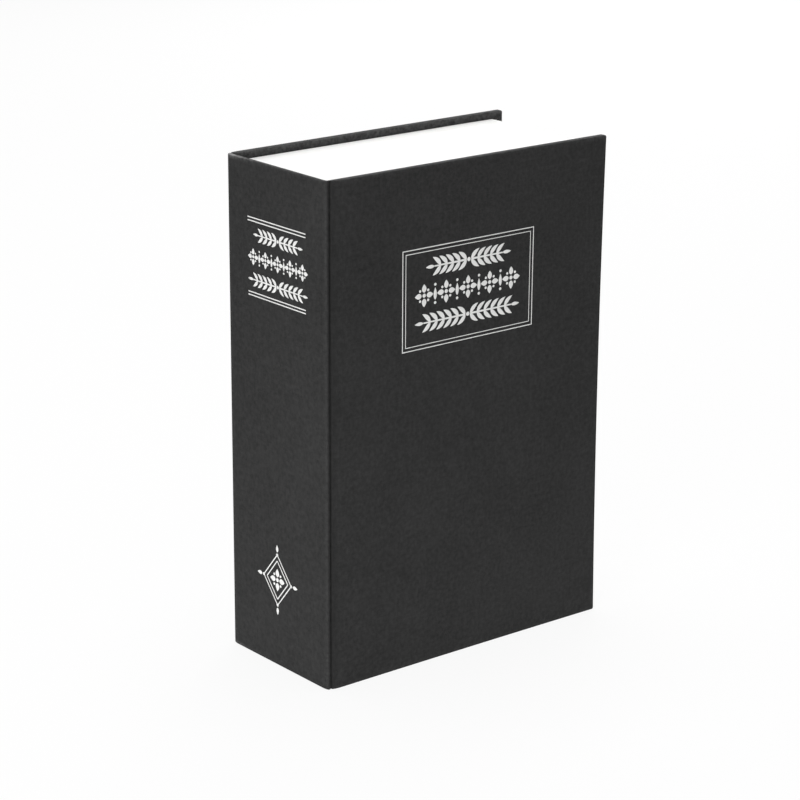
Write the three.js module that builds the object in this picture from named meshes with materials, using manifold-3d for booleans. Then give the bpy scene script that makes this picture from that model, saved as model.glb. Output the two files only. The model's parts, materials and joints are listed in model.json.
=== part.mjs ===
// A book diversion safe: a steel strong box with a locking lid, held in a white moulded frame that
// looks like a page block, inside a cloth-covered hardback case. The book stands on its tail edge.
// Millimetres. X runs from the spine to the fore-edge, Y from the front cover to the back cover and
// Z from the tail to the head. The origin is at the middle of the footprint, on the standing surface.

import * as THREE from 'three';
import { mergeVertices } from 'three/addons/utils/BufferGeometryUtils.js';
import Module from 'manifold-3d';

const wasm = await Module();
wasm.setup();

// Book, over the cloth
const BOOK_HEIGHT = 176;
const BOOK_WIDTH = 121;
const BOOK_THICKNESS = 56.5;

// Case: boards, covering cloth and endpapers
const COVER_BOARD = 2.0;
const SPINE_BOARD = 1.0;
const CLOTH = 0.3;
const ENDPAPER = 0.2;
const GLUE_LINE = 0.05;
const TURN_IN = 12;
const ENDPAPER_MARGIN = 3;
const COVER_CORNER = 1.0;
const CLOTH_EDGE = 0.4;
const SPINE_SETBACK = 0.4;
const GROOVE_WIDTH = 0.35;
const GROOVE_DEPTH = 1.9;

// Page frame
const HEAD_SQUARE = 2.5;
const FORE_SQUARE = 4;
const COVER_CLEARANCE = 0.35;
const PAGE_WALL = 2.0;
const PAGE_RIM_THICKNESS = 2.2;
const PAGE_CORNER = 1.2;
const PAGE_RIDGE_PITCH = 1.1;
const PAGE_RIDGE_DEPTH = 0.12;
const RIM_WIDTH = 6;
const SPINE_RIM_WIDTH = 8;
const STEP_WALL = 2.0;
const GUSSET_THICKNESS = 1.2;
const GUSSET_DEPTH = 22;
const GUSSET_PITCH = 48;

// Lid and steel tray
const LID_RECESS = 2.7;
const LID_SHEET = 1.0;
const LID_LIP = 2.2;
const LID_CORNER = 1.5;
const LID_GAP = 0.5;
const SEAT_GAP = 0.3;
const TRAY_SHEET = 0.8;
const TRAY_CORNER = 2.0;
const TRAY_GAP = 0.3;
const FLANGE_END_WIDTH = 6.5;
const FLANGE_FORE_WIDTH = 4;

// Flange screws
const SCREW_RADIUS = 1.0;
const SCREW_LENGTH = 9;
const SCREW_HEAD_RADIUS = 2.0;
const SCREW_HEAD_HEIGHT = 1.1;
const SCREW_HOLE_CLEARANCE = 0.15;
const SCREW_INSET = 22;
const RECESS_WIDTH = 0.5;
const RECESS_SHARE = 0.55;
const RECESS_DEPTH = 0.7;
const BOSS_RADIUS = 2.4;

// Piano hinge
const HINGE_PIN_RADIUS = 0.8;
const HINGE_RUNNING_GAP = 0.1;
const HINGE_LEAF = 0.6;
const HINGE_LEAF_WIDTH = 12;
const HINGE_END_INSET = 1.5;
const HINGE_KNUCKLES = 13;
const KNUCKLE_GAP = 0.3;

// Cam lock
const LOCK_EDGE_DISTANCE = 24;
const BEZEL_RADIUS = 9;
const BEZEL_THICKNESS = 1.8;
const BEZEL_CHAMFER = 0.6;
const BARREL_RADIUS = 7;
const BARREL_FLAT_WIDTH = 12.4;
const BARREL_LENGTH = 16;
const BARREL_HOLE_CLEARANCE = 0.15;
const NUT_ACROSS_FLATS = 19;
const NUT_THICKNESS = 3;
const PLUG_RADIUS = 5.25;
const PLUG_RUNNING_GAP = 0.1;
const PLUG_HEAD_RADIUS = 6.2;
const PLUG_HEAD_THICKNESS = 1.2;
const PLUG_RECESS = 0.2;
const KEYWAY_WIDTH = 1.9;
const KEYWAY_HEIGHT = 7.4;
const KEYWAY_DEPTH = 15;
const KEYWAY_WARD = 0.6;
const CAM_SQUARE = 6;
const CAM_SQUARE_GAP = 0.1;
const CAM_REACH = 18;
const CAM_TAIL = 6;
const CAM_WIDTH = 10;
const CAM_TIP_WIDTH = 8;
const CAM_THICKNESS = 1.5;
const STOP_WASHER_RADIUS = 7.4;
const STOP_WASHER_THICKNESS = 0.8;
const STOP_LUG_WIDTH = 20;
const STOP_LUG_PLAY = 3;
const STOP_LUG_INNER_RADIUS = 6.0;
const LOCK_TURN = 90;
const CAM_SCREW_RADIUS = 1.9;
const CAM_SCREW_LENGTH = 8;
const CAM_SCREW_HEAD_RADIUS = 3.6;
const CAM_SCREW_HEAD_HEIGHT = 1.9;

// Strike bracket
const STRIKE_SHEET = 1.2;
const STRIKE_HOOK = 6.5;
const STRIKE_HEIGHT = 22;
const STRIKE_LEG = 10;
const STRIKE_CAM_GAP = 0.7;

// Case depths, from the outer face of a cover or of the spine
const turnInTop = CLOTH + GLUE_LINE + COVER_BOARD + GLUE_LINE;
const coverStack = turnInTop + CLOTH;
const linedStack = coverStack + GLUE_LINE + ENDPAPER;
const spineTurnInTop = CLOTH + GLUE_LINE + SPINE_BOARD + GLUE_LINE;
const spineStack = spineTurnInTop + CLOTH;
const coverHingeX = spineStack + GROOVE_WIDTH;
const boardHingeX = coverHingeX + CLOTH + GLUE_LINE;
const clothInset = CLOTH + GLUE_LINE;
const lipDepth = SPINE_SETBACK + CLOTH;

// Page frame, tray and lid places
const pageX0 = spineStack + GLUE_LINE;
const pageX1 = BOOK_WIDTH - FORE_SQUARE;
const pageZ0 = HEAD_SQUARE;
const pageZ1 = BOOK_HEIGHT - HEAD_SQUARE;
const pageY0 = linedStack + COVER_CLEARANCE;
const pageY1 = BOOK_THICKNESS - linedStack - GLUE_LINE;
const mouthX0 = pageX0 + SPINE_RIM_WIDTH;
const mouthX1 = pageX1 - RIM_WIDTH;
const mouthZ0 = pageZ0 + RIM_WIDTH;
const mouthZ1 = pageZ1 - RIM_WIDTH;
const lidY = pageY0 + LID_RECESS;
const lidInnerY = lidY + LID_SHEET;
const lidX1 = mouthX1 - LID_GAP;
const lidZ0 = mouthZ0 + LID_GAP;
const lidZ1 = mouthZ1 - LID_GAP;
const flangeY = lidY + LID_LIP + SEAT_GAP;
const ledgeY = flangeY + TRAY_SHEET + GLUE_LINE;
const ledgeBackY = ledgeY + STEP_WALL;

// Hinge axis: the lid leaf lies under the lid and the tray leaf outside the tray's spine-side wall
const knuckleRadius = HINGE_PIN_RADIUS + HINGE_RUNNING_GAP + HINGE_LEAF;
const hingeX = mouthX0 + LID_GAP + knuckleRadius;
const hingeY = lidInnerY + GLUE_LINE + HINGE_LEAF - knuckleRadius;
const leafStart = knuckleRadius + KNUCKLE_GAP;
const lidX0 = hingeX + leafStart;
const trayX0 = hingeX - knuckleRadius + HINGE_LEAF + GLUE_LINE;
const trayX1 = lidX1 - FLANGE_FORE_WIDTH;
const trayZ0 = lidZ0 + FLANGE_END_WIDTH;
const trayZ1 = lidZ1 - FLANGE_END_WIDTH;
const trayBackY = BOOK_THICKNESS - turnInTop - GLUE_LINE - ENDPAPER - SEAT_GAP;
const hingeZ0 = trayZ0 + HINGE_END_INSET;
const hingeZ1 = trayZ1 - HINGE_END_INSET;

// Lock places, on an axis along Y through the lid
const lockX = lidX1 - LOCK_EDGE_DISTANCE;
const lockZ = BOOK_HEIGHT / 2;
const bezelBackY = lidY - GLUE_LINE;
const bezelFrontY = bezelBackY - BEZEL_THICKNESS;
const barrelEndY = bezelBackY + BARREL_LENGTH;
const washerY = barrelEndY + SEAT_GAP;
const camY = washerY + STOP_WASHER_THICKNESS + GLUE_LINE;
const camScrewY = camY + CAM_THICKNESS + GLUE_LINE;
const strikeY = camY - STRIKE_CAM_GAP;

const COLOURS = {
  cloth: new THREE.MeshStandardMaterial({ color: 0x2f3031, roughness: 0.85 }),
  board: new THREE.MeshStandardMaterial({ color: 0x8d8576, roughness: 0.95 }),
  paper: new THREE.MeshStandardMaterial({ color: 0xf1efe9, roughness: 0.8 }),
  plastic: new THREE.MeshStandardMaterial({ color: 0xf4f3ef, roughness: 0.6 }),
  coated: new THREE.MeshStandardMaterial({ color: 0x1d1e20, roughness: 0.55, metalness: 0.3 }),
  steel: new THREE.MeshStandardMaterial({ color: 0x9a9c9f, roughness: 0.4, metalness: 1 }),
  chrome: new THREE.MeshStandardMaterial({ color: 0xc9cbce, roughness: 0.15, metalness: 1 }),
  brass: new THREE.MeshStandardMaterial({ color: 0xb59a55, roughness: 0.35, metalness: 1 }),
};

// Turns a closed geometry into a solid: shared corners are merged, collapsed triangles dropped and
// the faces turned outwards.
function solid(geometry) {
  const bare = geometry.clone();
  bare.deleteAttribute('normal');
  bare.deleteAttribute('uv');
  const merged = mergeVertices(bare, 1e-4);
  const position = merged.attributes.position;
  const corner = [new THREE.Vector3(), new THREE.Vector3(), new THREE.Vector3()];
  const triangles = [];
  let volume = 0;
  for (let i = 0; i < merged.index.count; i += 3) {
    const [a, b, c] = [0, 1, 2].map((k) => merged.index.getX(i + k));
    if (a !== b && b !== c && c !== a) {
      triangles.push([a, b, c]);
      [a, b, c].forEach((vertex, k) => corner[k].fromBufferAttribute(position, vertex));
      volume += corner[0].dot(corner[1].cross(corner[2]));
    }
  }
  const outward = volume > 0 ? triangles : triangles.map(([a, b, c]) => [a, c, b]);
  return new wasm.Manifold(
    new wasm.Mesh({
      numProp: 3,
      vertProperties: Float32Array.from(position.array),
      triVerts: Uint32Array.from(outward.flat()),
    }),
  );
}

function box(x0, x1, y0, y1, z0, z1) {
  const geometry = new THREE.BoxGeometry(x1 - x0, y1 - y0, z1 - z0);
  geometry.translate((x0 + x1) / 2, (y0 + y1) / 2, (z0 + z1) / 2);
  return solid(geometry);
}

// An outline in X and Z, extruded along Y, with its edges rounded by bevel if one is given.
function slabAlongY(outline, y0, y1, bevel = 0) {
  const geometry = new THREE.ExtrudeGeometry(outline, {
    depth: y1 - y0 - 2 * bevel,
    bevelEnabled: bevel > 0,
    bevelThickness: bevel,
    bevelSize: bevel,
    bevelOffset: -bevel,
    bevelSegments: 2,
    curveSegments: 3,
  });
  geometry.rotateX(Math.PI / 2);
  geometry.translate(0, y1 - bevel, 0);
  return solid(geometry);
}

// An outline in X and Y, extruded along Z.
function slabAlongZ(outline, z0, z1, curveSegments = 6) {
  const geometry = new THREE.ExtrudeGeometry(outline, { depth: z1 - z0, bevelEnabled: false, curveSegments });
  geometry.translate(0, 0, z0);
  return solid(geometry);
}

// A profile of [radius, y] points turned round the Y axis.
function turned(profile, segments = 32) {
  const points = profile.map(([radius, y]) => new THREE.Vector2(radius, y));
  return solid(new THREE.LatheGeometry(points, segments));
}

function cylinderAlongY(radius, y0, y1, segments = 24) {
  return turned([[0, y0], [radius, y0], [radius, y1], [0, y1]], segments);
}

function rectangle(x0, x1, z0, z1, radius) {
  const shape = new THREE.Shape();
  shape.moveTo(x0 + radius, z0);
  shape.absarc(x1 - radius, z0 + radius, radius, -Math.PI / 2, 0);
  shape.absarc(x1 - radius, z1 - radius, radius, 0, Math.PI / 2);
  shape.absarc(x0 + radius, z1 - radius, radius, Math.PI / 2, Math.PI);
  shape.absarc(x0 + radius, z0 + radius, radius, Math.PI, 1.5 * Math.PI);
  shape.closePath();
  return shape;
}

function polygon(points) {
  return new THREE.Shape(points.map(([a, b]) => new THREE.Vector2(a, b)));
}

// The skin between rings of equal point count, closed by flat ends. Every ring is convex.
function loft(rings) {
  const count = rings[0].length;
  const index = [];
  for (let ring = 0; ring + 1 < rings.length; ring += 1) {
    for (let i = 0; i < count; i += 1) {
      const a = ring * count + i;
      const b = ring * count + ((i + 1) % count);
      index.push(a, b, b + count, a, b + count, a + count);
    }
  }
  const last = (rings.length - 1) * count;
  for (let i = 1; i + 1 < count; i += 1) {
    index.push(0, i + 1, i);
    index.push(last, last + i, last + i + 1);
  }
  const geometry = new THREE.BufferGeometry();
  geometry.setAttribute('position', new THREE.Float32BufferAttribute(rings.flat(2), 3));
  geometry.setIndex(index);
  return solid(geometry);
}

const book = new THREE.Group();
book.position.set(-BOOK_WIDTH / 2, -BOOK_THICKNESS / 2, 0);
const casing = new THREE.Group();
const frontCover = new THREE.Group();
const body = new THREE.Group();
const lidGroup = new THREE.Group();
const hinge = new THREE.Group();
const lock = new THREE.Group();
hinge.position.set(hingeX, hingeY, 0);
lock.position.set(lockX, 0, lockZ);
book.add(casing, frontCover, body, lidGroup, hinge, lock);

function piece(group, name, shape, material) {
  const { vertProperties, triVerts } = shape.getMesh();
  const geometry = new THREE.BufferGeometry();
  geometry.setAttribute('position', new THREE.BufferAttribute(Float32Array.from(vertProperties), 3));
  geometry.setIndex(new THREE.BufferAttribute(Uint32Array.from(triVerts), 1));
  geometry.computeVertexNormals();
  const mesh = new THREE.Mesh(geometry, material);
  mesh.name = name;
  group.add(mesh);
}

// Front and back covers are alike, so each is made at the front and mirrored to the back.
function toBack(shape) {
  return shape.mirror([0, 1, 0]).translate([0, BOOK_THICKNESS, 0]);
}

// Cover board, square at the hinge and with softened fore-edge corners
function coverBoard() {
  const outline = rectangle(
    boardHingeX,
    BOOK_WIDTH - clothInset,
    clothInset,
    BOOK_HEIGHT - clothInset,
    COVER_CORNER - clothInset,
  );
  return slabAlongY(outline, clothInset, clothInset + COVER_BOARD);
}

// Covering cloth of one cover: the outer face, the wrapped edges, and the turn-ins at head, tail and
// fore-edge. At the hinge it ends in a lip that dips into the groove.
function coverCloth() {
  const outside = slabAlongY(
    rectangle(coverHingeX, BOOK_WIDTH, 0, BOOK_HEIGHT, COVER_CORNER),
    0,
    coverStack,
    CLOTH_EDGE,
  );
  const boardSpace = slabAlongY(
    rectangle(
      coverHingeX + CLOTH,
      BOOK_WIDTH - CLOTH,
      CLOTH,
      BOOK_HEIGHT - CLOTH,
      COVER_CORNER - CLOTH,
    ),
    CLOTH,
    turnInTop,
  );
  const window = box(-1, BOOK_WIDTH - TURN_IN, turnInTop - 0.1, coverStack + 1, TURN_IN, BOOK_HEIGHT - TURN_IN);
  const openHinge = box(-1, coverHingeX + 2 * CLOTH, lipDepth, turnInTop, -1, BOOK_HEIGHT + 1);
  const wrappedEnds = openHinge.intersect(box(-1, BOOK_WIDTH, 0, BOOK_THICKNESS, CLOTH, BOOK_HEIGHT - CLOTH));
  const openLip = box(-1, coverHingeX + CLOTH, lipDepth, coverStack + 1, -1, BOOK_HEIGHT + 1);
  return outside.subtract(boardSpace).subtract(window).subtract(wrappedEnds).subtract(openLip);
}

// Endpaper, pasted to the board inside the turn-ins and stepped up over them
function endpaper() {
  const seat = turnInTop + GLUE_LINE;
  const ringSeat = coverStack + GLUE_LINE;
  const x0 = boardHingeX + GLUE_LINE;
  const x1 = BOOK_WIDTH - ENDPAPER_MARGIN;
  const z0 = ENDPAPER_MARGIN;
  const z1 = BOOK_HEIGHT - ENDPAPER_MARGIN;
  const stepX = BOOK_WIDTH - TURN_IN - GLUE_LINE;
  const stepZ0 = TURN_IN + GLUE_LINE;
  const stepZ1 = BOOK_HEIGHT - TURN_IN - GLUE_LINE;
  const sheet = box(x0, x1, seat, linedStack, z0, z1);
  const turnIns = box(x0 - 1, x1 + 1, seat - 1, ringSeat, z0 - 1, z1 + 1);
  const dish = box(x0 - 1, stepX, seat - 2, linedStack + 1, stepZ0, stepZ1);
  const hollow = box(
    x0 - 1,
    stepX - 2 * ENDPAPER,
    seat + ENDPAPER,
    linedStack + 1,
    stepZ0 + 2 * ENDPAPER,
    stepZ1 - 2 * ENDPAPER,
  );
  return sheet.subtract(turnIns.subtract(dish)).subtract(hollow);
}

// The strip of cloth that dips into the groove between the spine and a cover
function jointCloth() {
  const x0 = spineTurnInTop;
  const x1 = spineStack;
  const x2 = coverHingeX;
  const x3 = coverHingeX + CLOTH;
  const top = lipDepth + GLUE_LINE;
  const outline = polygon([
    [x0, top],
    [x1, top],
    [x1, GROOVE_DEPTH - CLOTH],
    [x2, GROOVE_DEPTH - CLOTH],
    [x2, top],
    [x3, top],
    [x3, GROOVE_DEPTH],
    [x0, GROOVE_DEPTH],
  ]);
  return slabAlongZ(outline, 0, BOOK_HEIGHT);
}

function spineBoard() {
  return box(
    clothInset,
    clothInset + SPINE_BOARD,
    SPINE_SETBACK + clothInset,
    BOOK_THICKNESS - SPINE_SETBACK - clothInset,
    clothInset,
    BOOK_HEIGHT - clothInset,
  );
}

// Covering cloth of the spine: the outer face, its lips beside the grooves and the turn-ins at head
// and tail
function spineCloth() {
  const y0 = SPINE_SETBACK;
  const y1 = BOOK_THICKNESS - SPINE_SETBACK;
  const geometry = new THREE.ExtrudeGeometry(rectangle(0, spineStack, y0, y1, CLOTH_EDGE), {
    depth: BOOK_HEIGHT,
    bevelEnabled: false,
    curveSegments: 3,
  });
  const outside = solid(geometry);
  const boardSpace = box(CLOTH, spineTurnInTop, y0 + CLOTH, y1 - CLOTH, CLOTH, BOOK_HEIGHT - CLOTH);
  const window = box(spineTurnInTop - 0.1, spineStack + 1, y0 + CLOTH, y1 - CLOTH, TURN_IN, BOOK_HEIGHT - TURN_IN);
  const besideJoint = box(
    spineTurnInTop - GLUE_LINE,
    spineStack + 1,
    lipDepth,
    GROOVE_DEPTH + GLUE_LINE,
    -1,
    BOOK_HEIGHT + 1,
  );
  return outside
    .subtract(boardSpace)
    .subtract(window)
    .subtract(besideJoint)
    .subtract(toBack(besideJoint));
}

piece(frontCover, 'front_cover_board', coverBoard(), COLOURS.board);
piece(frontCover, 'front_cover_cloth', coverCloth(), COLOURS.cloth);
piece(frontCover, 'front_endpaper', endpaper(), COLOURS.paper);
piece(casing, 'front_joint_cloth', jointCloth(), COLOURS.cloth);
piece(casing, 'spine_board', spineBoard(), COLOURS.board);
piece(casing, 'spine_cloth', spineCloth(), COLOURS.cloth);
piece(casing, 'back_joint_cloth', toBack(jointCloth()), COLOURS.cloth);
piece(casing, 'back_cover_board', toBack(coverBoard()), COLOURS.board);
piece(casing, 'back_cover_cloth', toBack(coverCloth()), COLOURS.cloth);
piece(casing, 'back_endpaper', toBack(endpaper()), COLOURS.paper);

// Outer block of the page frame: its head, tail and fore-edge are ridged like the edges of pages
function ridgedBlock() {
  const ridges = Math.round((pageY1 - pageY0) / PAGE_RIDGE_PITCH);
  const pitch = (pageY1 - pageY0) / ridges;
  const rings = [];
  for (let step = 0; step <= 2 * ridges; step += 1) {
    const y = pageY0 + (step * pitch) / 2;
    const inset = step % 2 === 1 ? PAGE_RIDGE_DEPTH : 0;
    const x1 = pageX1 - inset;
    const z0 = pageZ0 + inset;
    const z1 = pageZ1 - inset;
    const radius = PAGE_CORNER - inset;
    const ring = [[pageX0, y, z0]];
    for (const [centreZ, from] of [[z0 + radius, -Math.PI / 2], [z1 - radius, 0]]) {
      for (let k = 0; k <= 2; k += 1) {
        const angle = from + (k * Math.PI) / 4;
        ring.push([x1 - radius + radius * Math.cos(angle), y, centreZ + radius * Math.sin(angle)]);
      }
    }
    ring.push([pageX0, y, z1]);
    rings.push(ring);
  }
  return loft(rings);
}

// Evenly spread places between two ends, about one pitch apart and half a pitch from the ends
function spread(from, to, pitch) {
  const count = Math.max(2, Math.round((to - from) / pitch));
  return Array.from({ length: count }, (_, i) => from + ((i + 0.5) * (to - from)) / count);
}

const screwPlaces = [lidX0 + SCREW_INSET, lidX1 - SCREW_INSET].flatMap((x) =>
  [
    (lidZ0 + LID_SHEET + trayZ0) / 2,
    (lidZ1 - LID_SHEET + trayZ1) / 2,
  ].map((z) => [x, z]),
);

function atScrews(shape) {
  return screwPlaces.map(([x, z]) => shape.translate([x, 0, z])).reduce((all, next) => all.add(next));
}

// Gussets between the outer wall and the ledge, on the frame's four sides
function gussets() {
  const half = GUSSET_THICKNESS / 2;
  const front = ledgeBackY - 0.2;
  const narrow = ledgeBackY + PAGE_WALL;
  const deep = ledgeBackY + GUSSET_DEPTH;
  const joined = 0.2;
  const innerZ0 = pageZ0 + PAGE_WALL - joined;
  const innerZ1 = pageZ1 - PAGE_WALL + joined;
  const innerX0 = pageX0 + PAGE_WALL - joined;
  const innerX1 = pageX1 - PAGE_WALL + joined;
  const shapes = [];
  const wedge = (wall, toe) => polygon([[wall, front], [toe, front], [toe, narrow], [wall, deep]]);
  for (const x of spread(mouthX0, mouthX1, GUSSET_PITCH)) {
    for (const [wall, toe] of [[innerZ0, trayZ0 - TRAY_GAP], [innerZ1, trayZ1 + TRAY_GAP]]) {
      const geometry = new THREE.ExtrudeGeometry(wedge(wall, toe), { depth: GUSSET_THICKNESS, bevelEnabled: false });
      geometry.applyMatrix4(new THREE.Matrix4().set(0, 0, 1, x - half, 0, 1, 0, 0, 1, 0, 0, 0, 0, 0, 0, 1));
      shapes.push(solid(geometry));
    }
  }
  for (const z of spread(mouthZ0, mouthZ1, GUSSET_PITCH)) {
    shapes.push(slabAlongZ(wedge(innerX1, trayX1 + TRAY_GAP), z - half, z + half));
    shapes.push(slabAlongZ(wedge(innerX0, mouthX0), z - half, z + half));
  }
  return shapes.reduce((all, next) => all.add(next));
}

// Page frame: a moulding that is open at the back, with a stepped mouth. The lid lies in the step,
// the tray's flange rests on its ledge, and screw bosses stand behind the ledge.
function pageFrame() {
  const hollow = box(
    pageX0 + PAGE_WALL,
    pageX1 - PAGE_WALL,
    pageY0 + PAGE_RIM_THICKNESS,
    pageY1 + 1,
    pageZ0 + PAGE_WALL,
    pageZ1 - PAGE_WALL,
  );
  const step = box(
    mouthX0 - STEP_WALL,
    mouthX1 + STEP_WALL,
    pageY0 + PAGE_RIM_THICKNESS / 2,
    ledgeBackY,
    mouthZ0 - STEP_WALL,
    mouthZ1 + STEP_WALL,
  );
  const mouth = box(mouthX0, mouthX1, pageY0 - 1, ledgeY, mouthZ0, mouthZ1);
  const trayHole = box(mouthX0, trayX1 + TRAY_GAP, pageY0, pageY1 + 1, trayZ0 - TRAY_GAP, trayZ1 + TRAY_GAP);
  const boss = cylinderAlongY(BOSS_RADIUS, ledgeY + STEP_WALL / 2, ledgeY + SCREW_LENGTH, 12);
  const pilot = cylinderAlongY(SCREW_RADIUS + SCREW_HOLE_CLEARANCE, ledgeY - 1, ledgeY + SCREW_LENGTH + 1, 12);
  return ridgedBlock()
    .subtract(hollow)
    .add(step)
    .add(gussets())
    .add(atScrews(boss))
    .subtract(mouth)
    .subtract(trayHole)
    .subtract(atScrews(pilot));
}

// Strong box: a folded tray with a flange at head, tail and fore-edge
function steelTray() {
  const outside = slabAlongY(rectangle(trayX0, trayX1, trayZ0, trayZ1, TRAY_CORNER), flangeY, trayBackY);
  const inside = slabAlongY(
    rectangle(
      trayX0 + TRAY_SHEET,
      trayX1 - TRAY_SHEET,
      trayZ0 + TRAY_SHEET,
      trayZ1 - TRAY_SHEET,
      TRAY_CORNER - TRAY_SHEET,
    ),
    flangeY - 1,
    trayBackY - TRAY_SHEET,
  );
  const flange = slabAlongY(rectangle(trayX0, lidX1, lidZ0, lidZ1, LID_CORNER), flangeY, flangeY + TRAY_SHEET);
  const hole = cylinderAlongY(SCREW_RADIUS + SCREW_HOLE_CLEARANCE, flangeY - 1, flangeY + TRAY_SHEET + 1, 12);
  return outside.add(flange).subtract(inside).subtract(atScrews(hole));
}

// Cross recess, sunk from a head's face at y0 towards y1
function crossRecess(headRadius, y0, y1) {
  const reach = headRadius * RECESS_SHARE;
  const half = RECESS_WIDTH / 2;
  return box(-reach, reach, y0, y1, -half, half).add(box(-half, half, y0, y1, -reach, reach));
}

function flangeScrew() {
  const headY = flangeY - GLUE_LINE;
  const faceY = headY - SCREW_HEAD_HEIGHT;
  const turnedScrew = turned(
    [
      [0, faceY],
      [SCREW_HEAD_RADIUS * 0.6, faceY],
      [SCREW_HEAD_RADIUS, headY - SCREW_HEAD_HEIGHT / 2],
      [SCREW_HEAD_RADIUS, headY],
      [SCREW_RADIUS, headY],
      [SCREW_RADIUS, headY + SCREW_LENGTH - SCREW_RADIUS],
      [0, headY + SCREW_LENGTH],
    ],
    12,
  );
  return turnedScrew.subtract(crossRecess(SCREW_HEAD_RADIUS, faceY - 1, faceY + RECESS_DEPTH));
}

// Strike: an angle whose long leg is welded to the tray's fore-edge wall and whose hook the cam catches
function strikePlate() {
  const wallX = trayX1 - TRAY_SHEET - GLUE_LINE;
  const outline = polygon([
    [wallX, strikeY - STRIKE_LEG],
    [wallX, strikeY],
    [wallX - STRIKE_HOOK, strikeY],
    [wallX - STRIKE_HOOK, strikeY - STRIKE_SHEET],
    [wallX - STRIKE_SHEET, strikeY - STRIKE_SHEET],
    [wallX - STRIKE_SHEET, strikeY - STRIKE_LEG],
  ]);
  return slabAlongZ(outline, lockZ - STRIKE_HEIGHT / 2, lockZ + STRIKE_HEIGHT / 2);
}

piece(body, 'page_frame', pageFrame(), COLOURS.plastic);
piece(body, 'steel_tray', steelTray(), COLOURS.coated);
screwPlaces.forEach(([x, z], i) => {
  piece(body, `tray_screw_${i + 1}`, flangeScrew().translate([x, 0, z]), COLOURS.steel);
});
piece(body, 'strike_plate', strikePlate(), COLOURS.steel);

// One leaf of the piano hinge about its own axis, flat along +X with its outer face at +Y: rolled
// knuckles on every second place, and a plate that is cut back beside the other leaf's knuckles
function hingeLeaf(firstKnuckle, width) {
  const pitch = (hingeZ1 - hingeZ0) / HINGE_KNUCKLES;
  const bore = new THREE.Path().absarc(0, 0, HINGE_PIN_RADIUS + HINGE_RUNNING_GAP, 0, 2 * Math.PI, true);
  const ring = new THREE.Shape().absarc(0, 0, knuckleRadius, 0, 2 * Math.PI);
  ring.holes.push(bore);
  let leaf = box(leafStart, width, knuckleRadius - HINGE_LEAF, knuckleRadius, hingeZ0, hingeZ1);
  for (let knuckle = firstKnuckle; knuckle < HINGE_KNUCKLES; knuckle += 2) {
    const z0 = hingeZ0 + knuckle * pitch + KNUCKLE_GAP / 2;
    const z1 = hingeZ0 + (knuckle + 1) * pitch - KNUCKLE_GAP / 2;
    const tab = box(0, leafStart + 0.1, knuckleRadius - HINGE_LEAF, knuckleRadius, z0, z1);
    leaf = leaf.add(slabAlongZ(ring, z0, z1, 14)).add(tab);
  }
  return leaf;
}

// The tray leaf hangs down the wall, so it is the same leaf laid along +Y with its outer face at -X.
const trayLeaf = hingeLeaf(0, HINGE_LEAF_WIDTH).rotate([0, 0, 90]);
const pin = slabAlongZ(
  new THREE.Shape().absarc(0, 0, HINGE_PIN_RADIUS, 0, 2 * Math.PI),
  hingeZ0 - HINGE_PIN_RADIUS,
  hingeZ1 + HINGE_PIN_RADIUS,
  14,
);
piece(hinge, 'tray_hinge_leaf', trayLeaf, COLOURS.coated);
piece(hinge, 'lid_hinge_leaf', hingeLeaf(1, HINGE_LEAF_WIDTH), COLOURS.coated);
piece(hinge, 'hinge_pin', pin, COLOURS.steel);

// The lock barrel's outline is round with two flats, and so is its hole in the lid.
function doubleD(clearance, y0, y1) {
  const half = BARREL_FLAT_WIDTH / 2 + clearance;
  const round = cylinderAlongY(BARREL_RADIUS + clearance, y0, y1, 28);
  return round.intersect(box(-half, half, y0 - 1, y1 + 1, -BARREL_RADIUS - 1, BARREL_RADIUS + 1));
}

// Lid: a pan of sheet steel, lipped at head, tail and fore-edge and plain at the hinge
function lid() {
  const pan = slabAlongY(rectangle(lidX0, lidX1, lidZ0, lidZ1, LID_CORNER), lidY, lidY + LID_LIP);
  const under = box(
    lidX0 - 1,
    lidX1 - LID_SHEET,
    lidInnerY,
    lidY + LID_LIP + 1,
    lidZ0 + LID_SHEET,
    lidZ1 - LID_SHEET,
  );
  const lockHole = doubleD(BARREL_HOLE_CLEARANCE, lidY - 1, lidInnerY + 1).translate([lockX, 0, lockZ]);
  return pan.subtract(under).subtract(lockHole);
}

piece(lidGroup, 'lid', lid(), COLOURS.coated);

// A sector of a ring about the lock's axis. Angles run from +Z towards +X, in degrees.
function sector(inner, outer, fromDegrees, toDegrees, y0, y1) {
  const steps = 8;
  const arc = (radius, from, to) =>
    Array.from({ length: steps + 1 }, (_, i) => {
      const angle = THREE.MathUtils.degToRad(from + ((to - from) * i) / steps);
      return [radius * Math.sin(angle), radius * Math.cos(angle)];
    });
  return slabAlongY(polygon([...arc(inner, fromDegrees, toDegrees), ...arc(outer, toDegrees, fromDegrees)]), y0, y1);
}

function squareDrive(gap, y0, y1) {
  const half = CAM_SQUARE / 2 + gap;
  return box(-half, half, y0, y1, -half, half);
}

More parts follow.
